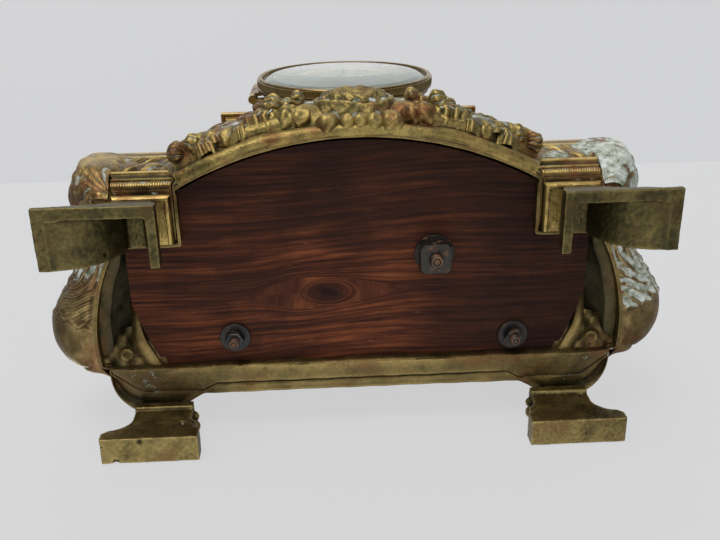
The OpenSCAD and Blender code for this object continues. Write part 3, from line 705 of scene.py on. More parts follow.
# ---------------------------------------------------------------- ornament
def leaf(length, width, lobes=5, arch=0.25, rise=0.18, tip_curl=0.3, thick=1.0, nu=60, nv=33, depth=0.055):
    """An acanthus-like leaf along +X, lying on the XY plane, its face up +Z. Returns a Shape with dirt
    in its veins.
    """
    u = np.linspace(0, 1, nu)[:, None]
    v = np.linspace(-1, 1, nv)[None, :]
    envelope = np.sin(np.pi * np.clip(u, 0, 1) ** 0.78) ** 0.62 * (1 - 0.25 * u)
    scallop = 1 + 0.10 * np.cos(2 * math.pi * (lobes * u - 0.55 * np.abs(v) ** 1.3)) * np.abs(v) ** 1.5
    half = 0.5 * width * np.maximum(envelope, 0.02) * scallop
    x = length * (u + 0.10 * np.abs(v) ** 1.5 * envelope)
    y = half * v
    side_phase = 2 * math.pi * (lobes * u - 0.75 * np.abs(v))
    vein = np.exp(-((v / 0.10) ** 2))
    ridge = 0.5 + 0.5 * np.cos(side_phase)
    fine = 0.5 + 0.5 * np.cos(side_phase * 3)
    z = width * (arch * (1 - v**2) * envelope + depth * (ridge * 0.9 + 0.28 * fine) * np.abs(v) ** 0.6
        * (1 - np.abs(v) ** 5) * envelope - 0.6 * depth * vein)
    z = z + length * (rise * np.sin(math.pi * u) - tip_curl * 0.35 * smoothstep(0.7, 1, u))
    x, y, z = np.broadcast_arrays(x, y, z)
    top = np.stack([x, y, z], -1)
    dirt = np.clip(0.55 * vein + 0.55 * (1 - ridge) * np.abs(v) ** 0.4 + 0.2 * (1 - fine) - 0.16, 0,
        1) * np.ones_like(x)
    shape = Shape()
    shape.grid(top, cav=dirt, flip=False)
    bottom = top.copy()
    bottom[..., 2] -= thick + 0.2 * width * arch
    bottom[..., 1] *= 1.2
    shape.grid(bottom, cav=0.12, flip=True)
    rim_top = np.concatenate([top[0, :], top[1:, -1], top[-1, -2::-1], top[-2:0:-1, 0]])
    rim_low = np.concatenate([bottom[0, :], bottom[1:, -1], bottom[-1, -2::-1], bottom[-2:0:-1, 0]])
    shape.grid(np.array([rim_top, rim_low]), close_v=True, cav=0.15, flip=False)
    return shape


def bud(radius, ribs=9, squash=0.9, n=72, m=30):
    """A gadrooned ball on its pole, the ribs running to the tip (+Z)."""
    t = np.linspace(0, math.pi, m)[:, None]
    a = np.linspace(0, 2 * math.pi, n, endpoint=False)[None, :]
    rib = np.abs(np.cos(a * ribs / 2)) ** 0.7 if ribs else np.ones_like(a)
    r = radius * (0.86 + 0.14 * rib * np.sin(t) ** 0.5)
    pts = np.stack([r * np.sin(t) * np.cos(a), r * np.sin(t) * np.sin(a), squash * r * np.cos(t) + 0 * a],
        -1)
    shape = Shape()
    shape.grid(pts, close_v=True, cav=np.broadcast_to(0.62 - 0.75 * rib, (m, n)).clip(0,
        1) * np.sin(t) ** 0.3, flip=True)
    return shape


def on_bow(angle, z, lift=0.0, spin=0.0, tilt=0.0):
    """Matrix that sets an ornament on the bowed front: its +Z outwards, its +X along the bow to the
    right, spun and tilted in degrees.
    """
    r = BOW_R + float(bow_swell(z)) + lift
    a = math.radians(angle)
    slope = math.degrees(math.atan2(float(bow_swell(z + 2) - bow_swell(z - 2)), 4.0)) + tilt
    return (move(r * math.sin(a), BOW_CY - r * math.cos(a),
        z) @ rot_z(a) @ rot_x(math.radians(90 - slope)) @ rot_z(math.radians(spin)))


def build_bow():
    """The rolled lip and reeded band along the bow, from plinth to plinth."""
    n, m = 620, 84
    a = np.linspace(-BOW_HALF, BOW_HALF, n)[None, :]
    profile = spline([(155.3, 33.0), (155.1, 30.5), (155.7, 28.2), (157.0, 27.15), (158.9, 27.2),
        (160.6, 28.6), (161.0, 30.8), (160.4, 33.0),
                      (161.2, 35.2), (163.2, 37.4), (165.2, 40.6), (166.9, 44.5), (167.2, 49), (166.2, 54),
                      (163.9, 59.2), (160.8, 63.6), (157.6, 67.0)], m)
    normal = np.stack([np.gradient(profile[:, 1]), -np.gradient(profile[:, 0])], -1)
    normal /= np.linalg.norm(normal, axis=1)[:, None]
    t = np.linspace(0, 1, m)[:, None]
    x = BOW_R * np.sin(a)
    ax = np.abs(x)
    z = profile[:, 1:] + 0 * a
    # soft festoon that hangs between the shell and the bud, and again out to the plinth
    drop = 41.5 - 5.5 * np.sin(math.pi * np.clip((ax - 20) / 38, 0, 1)) + 3 * np.clip((ax - 58) / 18, 0, 1)
    rope = bump(z, drop, 3.1 + 1.2 * np.sin(math.pi * np.clip((ax - 18) / 58, 0, 1)))
    reed_phase = (ax * 1.05 + (z - drop) * 0.55)
    reed = 0.5 + 0.5 * np.cos(reed_phase * 1.15)
    lip = bump(t, 0.18, 0.16)
    veins = 0.5 + 0.5 * np.cos(0.30 * ax * (1 + 0.2 * np.sin(ax * 0.13)) + z * 0.75)
    ribbed = 0.03 + 0.25 * smoothstep(44, 50, ax) * smoothstep(66, 60, ax)
    rope = rope * smoothstep(15, 23, ax)
    h = 3.0 * rope * (1 - ribbed + ribbed * reed) + 0.55 * lip * np.sin(x * 0.13 + 1.9
        * np.sin(x * 0.045 + 1)) + 0.55 * veins * bump(z, 55, 7)
    h = h + 0.9 * bump(z, 48, 8) * np.sin(x * 0.21 + 0.6) * np.sin(x * 0.083 + 2.0)
    edge_fade = smoothstep(0, 0.03, t) * smoothstep(1, 0.94, t)
    h = h * edge_fade
    r = profile[:, :1] + normal[:, :1] * h
    zz = profile[:, 1:] + normal[:, 1:] * h
    low_wave = 0.5 * np.sin(x * 0.16 + 1.1) * lip
    pts = np.stack([r * np.sin(a), BOW_CY - r * np.cos(a), zz + low_wave + 0 * a], -1)
    cav = np.clip(1.2 * ribbed * (1 - reed) * rope + 0.40 * (1 - veins) * bump(z, 54, 9) + 0.40 * bump(z,
        drop + 6, 2.4) - 0.35 * lip, 0, 1)
    shape = Shape()
    shape.grid(pts, cav=cav)
    lining = np.full_like(profile[:, :1], LINING_R, dtype=float)
    back = np.stack([lining * np.sin(a),
        BOW_CY - lining * np.cos(a),
                     np.broadcast_to(np.linspace(33.2, 67, m)[:, None], (m, n))], -1)
    shape.grid(back, flip=True, cav=0.4)
    for row in (0, -1):
        shape.grid(np.array([pts[row], back[row]]), flip=row == 0, cav=0.3)
    for col in (0, -1):
        shape.grid(np.array([pts[:, col], back[:, col]]), flip=col != 0, cav=0.3)
    return shape


def build_garland(s):
    """Leaves and buds on one half of the bow. s is -1 for the left."""
    shape = Shape()
    wide = leaf(20, 14, 5, arch=0.18, rise=0.08, tip_curl=0.2, thick=6)
    flat = leaf(22, 9, 6, arch=0.16, rise=0.03, tip_curl=0.1, thick=2.5)
    small = leaf(11, 7, 4, arch=0.26, rise=0.12, tip_curl=0.3, thick=4.5)
    # leaf, angle from the middle, height, lift, spin and tilt: they lie flatter the farther out they are
    parts = [
        (wide, 6.4, 47, -0.6, 8, 0), (small, 9.6, 53, -1.6, 40, 0), (wide, 10.6, 44.5, -1.0, -8, 0),
        (small, 12.8, 47.5, 1.2, 60, 0),
        (small, 14.2, 44.5, 0.4, 20, 0), (small, 14.8, 38.5, -0.6, -16, 0), (flat, 15.8, 48, -1.2, 12, 0),
        (flat, 17.2, 41, -1.3, -8, 0),
        (small, 19.4, 45.5, -1.6, 35, 0), (flat, 20.4, 50, -1.5, 4, 0), (small, 20.8, 38, -1.2, -24, 0),
        (small, 11.6, 56, -1.4, 75, 0),
    ]
    for part, angle, z, lift, spin, tilt in parts:
        side_spin = spin if s > 0 else 180 - spin
        shape.merge(part, on_bow(s * angle, z, lift, side_spin, tilt))
    # angle, height, radius, lift and ribs: bulges beside the shell, a ribbed ball, and the buds that
    # lie against the plinth
    balls = [(8.0, 38.5, 5.4, -1.6, 0), (10.2, 40.5, 7.4, -2.8, 0), (13.0, 38.5, 5.2, -2.2, 0),
        (11.9, 46.5, 4.8, 3.0, 9), (8.2, 47, 3.6, 3.4, 7),
             (16.6, 36.5, 4.2, -1.6, 0), (19.4, 37.5, 4.4, -2.0, 0), (27.0, 41.0, 4.9, 1.2, 11),
             (24.2, 41.5, 4.6, 0.9, 9), (22.0, 39.0, 3.6, 0.0, 9)]
    for angle, z, radius, lift, ribs in balls:
        shape.merge(bud(radius, ribs), on_bow(s * angle, z, lift, 0, 0) @ rot_y(math.radians(62 * s)))
    name = "garland_left" if s < 0 else "garland_right"
    shape.knead(0.5)
    obj = shape.piece(name + "_leaves", BRASS_ORNAMENT, slot="cast_brass")
    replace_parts(obj, name)
    return obj


def build_shell():
    """The ribbed shell in the middle of the bow, with round lobes under it."""
    shape = Shape()
    n, m = 160, 56
    a = np.linspace(0, 2 * math.pi, n, endpoint=False)[None, :]
    t = np.linspace(0, 1, m)[:, None]
    ribs = 0.5 + 0.5 * np.cos(a * 13)
    spread = t**0.85
    rx, rz = 19.6, 13.5
    out = 1 + 0.025 * ribs * t
    x = rx * spread * out * np.sin(a)
    z = 50.0 + rz * spread * out * np.cos(a) - 2.0 * t**2
    dome = np.sqrt(np.clip(1 - (0.98 * spread) ** 2.6, 0, 1))
    fold = 0.75 * bump(t, 0.80 + 0.04 * np.sin(a * 3), 0.05) - 0.8 * bump(t, 0.70 + 0.04 * np.sin(a * 3),
        0.05) + 0.35 * np.sin(t * 15 + 0.9 * np.cos(a * 3))
    stipple = 0.16 * np.sin(a * 31 + 3 * t) * np.sin(t * 60) + 0.14 * ribs * smoothstep(0.3, 0.7, t)
    y = -61.6 - 12.6 * dome + (stipple - fold) * np.sin(math.pi * np.clip(t * 1.02, 0, 1)) ** 0.7
    y = np.maximum(y, -74.8)
    pts = np.stack(np.broadcast_arrays(x, y, z), -1)
    cav = np.clip(0.22 * (1 - ribs) * smoothstep(0.2, 0.6, t) + 0.25 * bump(t, 0.70,
        0.05) + 0.25 * smoothstep(0.9, 1, t), 0, 1) * np.ones_like(x)
    shape.grid(pts, close_v=True, cav=cav, flip=True)
    shape.fan(pts[-1] + np.array([0, 2.0, 0]), flip=False)
    shape.grid(np.array([pts[-1], pts[-1] + np.array([0, 2.0, 0])]), close_v=True, flip=True, cav=0.5)
    # five lobes, half sunk in the lip, under the shell
    for x0, z0, y0, r0 in ((-11.8, 31.6, -62.3, 5.2), (-3.8, 30.8, -63.2, 3.9), (1.6, 30.6, -63.6, 3.6),
            (7.2, 30.8, -63.2, 4.0), (14.0, 31.8, -62.3, 5.7)):
        shape.merge(bud(r0, 0, 1.0),
            move(x0, y0, z0) @ rot_x(math.radians(35)) @ rot_y(math.radians(x0 * 1.6)))
    shape.knead(0.3)
    for verts in shape.verts:
        verts[:, 1] = np.maximum(verts[:, 1], -74.95)
    obj = shape.piece("front_shell_ribbed", BRASS_ORNAMENT, slot="cast_brass")
    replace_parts(obj, "front_shell")
    return obj


SCROLL_OUT = scroll_high[0] - 0.1
SIDE_Y = (-15, -8, -1, 6, 13, 20.5, 28.5, 36, 42.5, 47.5)
SIDE_OUTER = ((121.5, -15), (123.0, -8), (125.2, -0.5), (130.4, 7), (135.4, 14.5), (139.0, 22.5),
    (140.0, 32), (136.8, 41.5),
              (127.0, 48.6), (115.0, 49.5))
SIDE_DECK = ((104.6, -15), (105, -9), (106, -2), (108, 5), (110.4, 12), (112.2, 20), (113, 29),
    (112.2, 37), (110.4, 44), (108.6, 49))


def build_scroll(s):
    """Side scroll: a shell that swells out from the lip to a belly and back to the deck, its front
    wrapped in acanthus.
    """
    n, m = 330, 150
    lip = spline([(SIDE_CENTRE[0] + math.sqrt(SIDE_R**2 - (y - SIDE_CENTRE[1]) ** 2) - 0.4 - 3.2
        * (y > 43), y) for y in SIDE_Y], n)
    outer, deck = spline(SIDE_OUTER, n), spline(SIDE_DECK, n)
    t = np.linspace(0, 1, n)[:, None]
    v = np.linspace(0, 1, m)[None, :]
    angle = math.pi / 2 * np.clip(v / 0.5, 0, 1)
    top = math.pi / 2 * np.clip((v - 0.5) / 0.5, 0, 1)
    mix_low, mix_top = np.sin(angle) ** 0.92, 1 - np.cos(top)
    z = 28.3 + 18.0 * (1 - np.cos(angle)) + 24.5 * np.sin(top)
    plan = lip[:, None] * (1 - mix_low[..., None]) + outer[:, None] * mix_low[..., None]
    plan = plan * (1 - mix_top[..., None]) + deck[:, None] * mix_top[..., None]
    points = np.concatenate([plan, np.broadcast_to(z[..., None], (n, m, 1))], -1)
    # the leaf: strands fan from its rib on the outside towards the lip, and its rounded tip is rolled
    edge = 0.60 - 0.07 * np.sin(math.pi * np.clip(v * 1.6, 0, 1)) ** 2 + 0.012 * np.cos(v * 58)
    on_leaf = smoothstep(edge + 0.012, edge - 0.010, t)
    along = t / 0.6
    across = np.abs(v - 0.52) * 2
    strand = 5.0 * along + 3.6 * across + 0.45 * np.sin(8 * along + 5 * v) + 0.14 * np.sin(27 * v + 9
        * along)
    ridge = 0.5 + 0.5 * np.cos(2 * math.pi * strand)
    fine = 0.5 + 0.5 * np.cos(2 * math.pi * strand * 3 + 2 * np.sin(14 * v + 6 * along))
    strength = 1.0 if s > 0 else 1.0 - 0.65 * smoothstep(0.35, 0.75, along)
    collar = smoothstep(0.175 + 0.02 * np.cos(v * 40), 0.150 + 0.02 * np.cos(v * 40), t)
    roll = bump(t, edge - 0.018, 0.020)
    vein = bump(across, 0, 0.06)
    crumple = np.sin(19 * along + 5 * np.sin(9 * v)) * np.sin(33 * v + 4 * np.sin(6 * along))
    h = on_leaf * (strength * (0.85 * ridge**0.8 + 0.3 * fine + 0.3 * crumple) - 0.5 * vein
        - 0.8) + 0.7 * roll + 0.5 * collar
    h = h - 0.8 * bump(t, 0.86, 0.012) * smoothstep(0.05, 0.2, v)
    h = h + 0.25 * np.sin(points[..., 0] * 0.5) * np.sin(points[..., 1] * 0.37)
    h = h * smoothstep(0, 0.035, v) * smoothstep(1, 0.95, v) * smoothstep(0, 0.01, t) * smoothstep(1, 0.97,
        t)
    du, dv = np.gradient(points, axis=0), np.gradient(points, axis=1)
    normal = np.cross(dv, du)
    normal /= np.linalg.norm(normal, axis=-1, keepdims=True) + 1e-9
    if normal[n // 2, m // 2, 0] < 0:
        normal = -normal
    skin = points + normal * h[..., None]
    skin[..., 0] = np.minimum(skin[..., 0], SCROLL_OUT)
    cloud = 0.5 + 0.5 * np.sin(5.1 * along + 3 * v + 1) * np.sin(8 * v + 2 + 2 * along)
    patch = 0.22 + 0.75 * cloud if s > 0 else bump(along, 0.24, 0.2) * (0.4 + 0.7 * cloud)
    cav = on_leaf * (patch * (0.20 + 0.42 * (1 - ridge) + 0.2 * (1 - fine) + 0.2 * crumple) + 0.10
        * (1 - ridge)) + 0.10 * roll * on_leaf - 0.12 * collar
    shape = Shape()
    shape.grid(skin, cav=np.clip(cav, 0, 1), flip=False)
    lining = points - normal * 1.6
    shape.grid(lining, cav=0.2, flip=True)
    for row in (0, -1):
        shape.grid(np.array([skin[row], lining[row]]), flip=row == 0, cav=0.2)
    for col in (0, -1):
        shape.grid(np.array([skin[:, col], lining[:, col]]), flip=col != 0, cav=0.2)
    if s < 0:
        shape = shape.mirrored()
    name = "side_scroll_left" if s < 0 else "side_scroll_right"
    obj = shape.piece(name + "_leafed", BRASS_SCROLL, slot="cast_brass")
    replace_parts(obj, name)
    return obj


def build_plinth(s):
    """Corner plinth: stepped and milled mouldings under a body wrapped in leaves."""
    shape = Shape()
    # plan: inner back, inner front, outer front, outer back, with many points along the milled sides
    steps = [(27.0, 80.3, 99.7, 33.6), (27.0, 79.8, 100.2, 34.2), (27.1, 78.9, 101.2, 35.0),
        (28.0, 78.2, 101.9, 35.7), (29.2, 77.9, 102.2, 36.0), (30.4, 78.3, 101.8, 35.8),
             (31.0, 79.2, 101.0, 35.4), (31.2, 78.4, 101.8, 37.4), (32.0, 78.4, 101.8, 37.6),
             (32.1, 77.8, 102.6, 39.3), (33.0, 77.5, 102.9, 40.2),
             (35.5, 77.5, 102.9, 40.2), (36.3, 77.9, 102.6, 39.8), (36.5, 77.3, 103.3, 40.9),
             (37.4, 77.3, 103.3, 40.9), (37.6, 77.9, 102.8, 40.3),
             (39.0, 77.7, 103.0, 40.8), (40.6, 77.0, 103.8, 41.8), (40.8, 76.7, 104.2, 42.5),
             (42.0, 76.6, 104.4, 42.8), (42.3, 77.0, 105.0, 41.9),
             (50.0, 76.9, 112.0, 41.6), (60.0, 76.9, 117.0, 41.6), (66.0, 76.7, 118.0, 42.0),
             (66.4, 76.5, 119.6, 42.6), (68.0, 76.5, 120.0, 42.7),
             (68.4, 76.7, 119.4, 42.2), (72.0, 76.6, 120.4, 42.5), (74.4, 76.6, 120.6, 42.6),
             (75.0, 77.2, 120.0, 42.0)]
    loops = []
    for z, x0, x1, y0 in steps:
        inner = np.stack([np.full(90, x0), np.linspace(-14.7, -y0, 90)], -1)
        face = np.stack([np.linspace(x0, x1, 150), np.full(150, -y0)], -1)
        outside = np.stack([np.full(90, x1), np.linspace(-y0, -14.7, 90)], -1)
        plan = np.vstack([inner, face, outside])
        milled = 0.38 if 32.5 < z < 36 else 0.0
        ripple = milled * np.abs(np.sin((plan[:, 0] + plan[:, 1]) * math.pi / 1.05))
        out = np.vstack([np.tile([-1, 0], (90, 1)), np.tile([0, -1], (150, 1)), np.tile([1, 0], (90, 1))])
        plan = plan + out * (ripple - milled)[:, None]
        wave = 0.1 * np.sin(plan[:, 0] * 0.7 + z) + 0.08 * np.sin(plan[:, 1] * 0.9)
        loops.append(np.column_stack([plan, np.full(len(plan), z) + wave * (27.05 < z < 60)]))
    loops = np.array(loops)
    z = loops[..., 2]
    cav = 0.5 * bump(z, 34.2, 1.6) + 0.25 * bump(z, 31.1, 0.4) + 0.3 * bump(z, 37.6, 0.4) + 0.2 * bump(z,
        39, 1)
    shape.loft(loops, cav=cav)
    # leaves: one skin that runs along the front, round the outer corner and back
    nu, nv = 300, 110
    path = spline([(77.4, -40.6), (86, -41.2), (95, -41.8), (102.5, -43), (110, -44.6), (116.5, -43.5),
        (120.3, -39.5), (122, -33), (122.2, -24), (121.6, -14.8)], nu)
    t = np.linspace(0, 1, nu)[:, None]
    v = np.linspace(0, 1, nv)[None, :]
    tangent = np.gradient(path, axis=0)
    normal = np.stack([tangent[:, 1], -tangent[:, 0]], -1)
    normal /= np.linalg.norm(normal, axis=1)[:, None]
    corner = smoothstep(0.335, 0.385, t)
    low = 43.2 - 15.4 * corner
    z = low + (74.2 - low) * v
    front_leaf = (1 - corner) * (5.2 * bump(z, 51.5, 6.2) * (0.72 + 0.28 * np.sin(2 * math.pi * t * 8.5))
        + 2.6 * bump(z, 64, 4))
    fan = np.arctan2(z - 30, (t - 0.40) * 78)
    curl = corner * (3.2 * np.sin(math.pi * np.clip(v, 0, 1)) ** 0.6 + 1.8 * bump(fan, 1.15,
        0.22) + 2.2 * bump(t, 0.47, 0.035) * smoothstep(1, 0.5, v))
    strand = np.where(corner > 0.5, fan * 2.1 + 0.35 * np.sin(z * 0.2) + 0.2 * np.sin(t * 31),
        t * 10 + z * 0.07 + 0.25 * np.sin(z * 0.45 + t * 20))
    ridge = 0.5 + 0.5 * np.cos(2 * math.pi * strand)
    fine = 0.5 + 0.5 * np.cos(2 * math.pi * strand * 3.0)
    d = -2.2 + front_leaf + curl + (0.9 * ridge + 0.22 * fine + 0.35 * np.sin(t * 47 + 3 * np.sin(z * 0.3))
        * np.sin(z * 0.62 + 8 * t)) * smoothstep(0, 0.12, v) * smoothstep(1, 0.85, v) * smoothstep(0, 0.02,
        t)
    d = d * smoothstep(0, 0.06, v) - 2.6 * (1 - smoothstep(0, 0.06, v))
    d = np.where(v > 0.93, d - 5 * (v - 0.93) / 0.07, d)
    skin = np.concatenate([path[:, None] + normal[:, None] * d[..., None],
        np.broadcast_to(z, (nu, nv))[..., None]], -1)
    deep = -44.6 - 1.2 * corner - skin[..., 1]
    skin[..., 1] += np.where(deep > -2, 0.85 * (deep + 2) ** 2 / (np.abs(deep + 2) + 1.0), 0)
    tuck = (1 - 0.30 * corner * smoothstep(46, 27.5, z))[..., None]
    skin[..., :2] = np.array([97, -20]) + (skin[..., :2] - [97, -20]) * tuck
    cloud = 0.5 + 0.5 * np.sin(t * 9 + 1) * np.sin(v * 5 + t * 7)
    drift = 0.5 + 0.5 * np.sin(t * 23 + z * 0.31) * np.sin(z * 0.27 - t * 6)
    spread = 0.30 * cloud + 0.22 * drift + 0.16 * (1 - ridge) if s > 0 else 0.26 * (1
        - ridge) ** 2 + 0.20 * cloud * drift
    cav = np.clip(spread + (s > 0) * 0.12 * corner, 0, 1)
    shape.grid(skin, cav=cav)
    lining = skin - np.concatenate([np.broadcast_to(3.2 * normal[:, None], (nu, nv, 2)),
        np.zeros((nu, nv, 1))], -1)
    lining[..., 0] = np.maximum(lining[..., 0], 77.6)
    shape.grid(lining, flip=True)
    for row in (0, -1):
        shape.grid(np.array([skin[row], lining[row]]), flip=row == 0)
    for col in (0, -1):
        shape.grid(np.array([skin[:, col], lining[:, col]]), flip=col != 0)
    under = lining[:, 0].copy()
    under[:, :2] = np.array([92.0, -24]) + 0.25 * (under[:, :2] - [92.0, -24])
    under[:, 2] = 33
    shape.grid(np.array([lining[:, 0], under]), cav=0.2)
    if s < 0:
        shape = shape.mirrored()
    name = "plinth_left" if s < 0 else "plinth_right"
    obj = shape.piece(name + "_leafed", BRASS_PLINTH, slot="cast_brass")
    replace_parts(obj, name)
    return obj


def value_noise(points, scale, seed=0):
    """Smooth noise in -1..1 from Blender's own noise, at millimetre points."""
    return np.array([noise.noise(Vector(p) * scale + Vector((seed * 7.3, seed * 3.1, 0))) for p in points])


def recast(node, material, voxel=0.55, rough=0.16, lumps=(), pits=0, rounds=4, bevel=0.8,
        slot="cast_brass", warp=None):
    """A rough-cast version of a CAD node: the same solid with worn edges, wandering faces, pits and
    lumps of flash.
    """
    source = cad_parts[node]
    points = np.empty(len(source.data.vertices) * 3)
    source.data.vertices.foreach_get("co", points)
    shape = Shape()
    shape.add(points.reshape(-1, 3) / MM, [list(p.vertices) for p in source.data.polygons])
    for lump in lumps:
        shape.merge(lump)
    rough_obj = add_piece(node + "_rough", np.vstack(shape.verts), shape.faces, material, body=None,
        smooth=False)
    for kind, settings in (("WELD", {"merge_threshold": 1e-5}),
            ("DECIMATE", {"decimate_type": "DISSOLVE", "angle_limit": 0.01}),
                           ("BEVEL", {"width": bevel * MM, "segments": 3, "limit_method": "ANGLE",
                           "angle_limit": 0.9})):
        modifier = rough_obj.modifiers.new(kind, kind)
        for key, value in settings.items():
            setattr(modifier, key, value)
    remesh = rough_obj.modifiers.new("remesh", "REMESH")
    remesh.mode = "VOXEL"
    remesh.voxel_size = voxel * MM
    smooth = rough_obj.modifiers.new("smooth", "SMOOTH")
    smooth.factor, smooth.iterations = 0.5, rounds
    evaluated = rough_obj.evaluated_get(bpy.context.evaluated_depsgraph_get())
    mesh = bpy.data.meshes.new_from_object(evaluated)
    bpy.data.objects.remove(rough_obj)
    count = len(mesh.vertices)
    verts, normals = np.empty(count * 3), np.empty(count * 3)
    mesh.vertices.foreach_get("co", verts)
    mesh.vertices.foreach_get("normal", normals)
    verts, normals = verts.reshape(-1, 3) / MM, normals.reshape(-1, 3)
    faces = [list(p.vertices) for p in mesh.polygons]
    wander = 0.6 * value_noise(verts, 0.16) + 0.4 * value_noise(verts, 0.55, 1)
    depth = rough * (wander - 0.6)
    cav = 0.10 + 0.25 * np.clip(-wander, 0, 1)
    low, high = verts.min(0), verts.max(0)
    for _ in range(pits):
        at, size = low + rng.random(3) * (high - low), 0.7 + 1.0 * rng.random()
        hole = np.exp(-((np.linalg.norm(verts - at, axis=1) / size) ** 4))
        depth, cav = depth - 0.8 * hole, cav + 0.3 * hole
    verts = verts + normals * depth[:, None]
    if warp:
        verts = warp(verts)
    low, high = node_box(node)
    verts = np.clip(verts, low - (4 if lumps else 0), high + (4 if lumps else 0))
    verts[:, 1] = np.minimum(verts[:, 1], 74.99)
    verts[:, 2] = np.maximum(verts[:, 2], 0.01)
    obj = add_piece(node + "_cast", verts, faces, material, attrs={"cav": np.clip(cav, 0, 1)}, sharp=0,
        slot=slot)
    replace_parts(obj, node)
    return obj


def block(low, high):
    """A plain box as a Shape, for joining to something else."""
    (x0, y0, z0), (x1, y1, z1) = low, high
    corners = [(x0, y0, z0), (x1, y0, z0), (x1, y1, z0), (x0, y1, z0), (x0, y0, z1), (x1, y0, z1),
        (x1, y1, z1), (x0, y1, z1)]
    shape = Shape()
    shape.add(corners, [(0, 3, 2, 1), (4, 5, 6, 7), (0, 1, 5, 4), (1, 2, 6, 5), (2, 3, 7, 6), (3, 0, 4, 7)])
    return shape


def build_feet():
    for s in (-1, 1):
        name = "left" if s < 0 else "right"

        def flared(verts):
            """The neck narrows above the sole, and the ends of the legs wear round."""
            x, z = s * verts[:, 0], verts[:, 2]
            verts[:, 0] += s * 6.0 * smoothstep(2.5, 26, z) * smoothstep(98, 79, x)
            return verts

        recast("front_foot_" + name, BRASS_FOOT, pits=22, rough=0.3, bevel=1.5, warp=flared)
        neck = []
        for x, y, z, r in ((77.4, 66, 14, 3.8), (76.6, 69, 18.5, 3.6), (77.0, 65.5, 10.5, 3.2),
                (76.8, 66.5, 22.5, 3.0)):
            lump = Shape()
            lump.merge(bud(r, 0, 0.8, 9, 6), move(s * x, y, z))
            neck.append(lump)
        recast("rear_foot_" + name, BRASS_REAR, lumps=neck, pits=16, rough=0.24)


# ---------------------------------------------------------------- board and fixings
def build_board():
    """Stained pine: planed by hand, with the grain bent round one knot."""
    low, high = board_low, board_high
    corner_x, shoulder_y = 100.2, -14.2
    half = np.concatenate([np.linspace(0, 76.0, 170), np.linspace(76.05, corner_x, 60)])
    x = np.concatenate([-half[:0:-1], half])
    ax = np.abs(x)
    front = np.where(ax <= 76.01, BOW_CY - np.sqrt((BOW_R - 4.6) ** 2 - np.minimum(ax, 76.1) ** 2),
        shoulder_y)
    back = np.interp(ax, [0, 88, 96, corner_x + 0.1], [47, 47, 28, 14.5])
    f = np.linspace(0, 1, 330)[:, None]
    y = front + (back - front) * f
    xx = np.broadcast_to(x, y.shape)
    dx, dy = xx + 14.0, y - 12.0 + 0.02 * (xx + 14.0)
    bend = 7.5 * np.exp(-((dx / 26) ** 2)) + 3.0 * np.exp(-(((dx + 16) / 12) ** 2))
    across = np.sign(dy) * np.sqrt(np.maximum(dy**2 - bend**2 * np.exp(-np.abs(dy) / 26), 0) + 0.02)
    inner = np.maximum(0, 1 - (dx / 13) ** 2 - (dy / 6.5) ** 2)
    across = across + 9 * inner * np.sin(np.hypot(dx * 0.5, dy) * 1.3)
    knot = np.exp(-(((dx / 6.5) ** 2 + (dy / 4.2) ** 2) ** 1.4)) + 0.35 * bump(dy - 0.35 * dx, 0,
        1.2) * bump(dx, 2, 9)
    spread = 1.8 * np.sin(dx * 0.021 + 0.5) + 1.1 * np.sin(dx * 0.05 + y * 0.03)
    across = across + spread
    grain = 0.5 + 0.5 * np.sin(across * 2.4 + 1.5 * np.sin(across * 0.37))
    z = low[2] + 0.04 + 0.16 * grain * smoothstep(0, 0.02, f) * smoothstep(1, 0.98, f)
    under = np.stack([xx, y, z], -1)
    over = np.stack([xx, y, np.full_like(y, high[2] - 0.02)], -1)
    shape = Shape()
    shape.grid(under, flip=False)
    shape.grid(over, flip=True)
    rims = []
    for sheet in (under, over):
        rims.append(np.concatenate([sheet[0, :], sheet[1:, -1], sheet[-1, -2::-1], sheet[-2:0:-1, 0]]))
    shape.grid(np.array(rims), close_v=True, flip=True)

    def both(field):
        rim = np.concatenate([field[0, :], field[1:, -1], field[-1, -2::-1], field[-2:0:-1, 0]])
        return np.concatenate([field.ravel(), field.ravel(), rim, rim])

    obj = add_piece("stained_board", np.vstack(shape.verts), shape.faces, PINE,
                    attrs={"across": both(across), "along": both(xx + 0 * y), "knot": both(knot)},
                    slot="wood")
    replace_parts(obj, "wood_board")


def threaded(node, material, turns_to=9.0):
    """A round rod with a cut thread at its lower end and a worn tip."""
    low, high = node_box(node)
    radius = (high[0] - low[0]) / 2
    centre = (low + high) / 2
    pitch = 0.9
    rows = np.concatenate([np.linspace(0, turns_to, 110), np.linspace(turns_to + 0.5, high[2] - low[2],
        12)])
    profile = np.array([(radius, z) for z in rows])
    profile[0, 0], profile[1, 0] = radius * 0.55, radius * 0.85

    def ripple(angle, row):
        z = rows[row]
        phase = (z / pitch - angle / (2 * math.pi)) % 1
        return -0.28 * np.abs(2 * phase - 1) * (z < turns_to) - 0.03

    points = lathe(profile, 40, ripple) + [centre[0], centre[1], low[2]]
    shape = Shape()
    shape.loft(points, cav=0.1)
    obj = shape.piece(node + "_threaded", material, slot="dark_iron")
    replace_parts(obj, node)


def build_fixings():
    threaded("centre_tie_rod", RUSTY, 13)
    threaded("rear_tie_rod_left", RUSTY, 10)
    threaded("rear_tie_rod_right", RUSTY, 10)
    recast("square_nut", IRON, voxel=0.28, rough=0.16, slot="dark_iron")
    for node in ("centre_washer", "rear_washer_left", "rear_washer_right"):
        soften(node, BLACK_IRON, 0.0003)
    for node in ("rear_nut_left", "rear_nut_right"):
        soften(node, BLACK_IRON, 0.0004, segments=3)


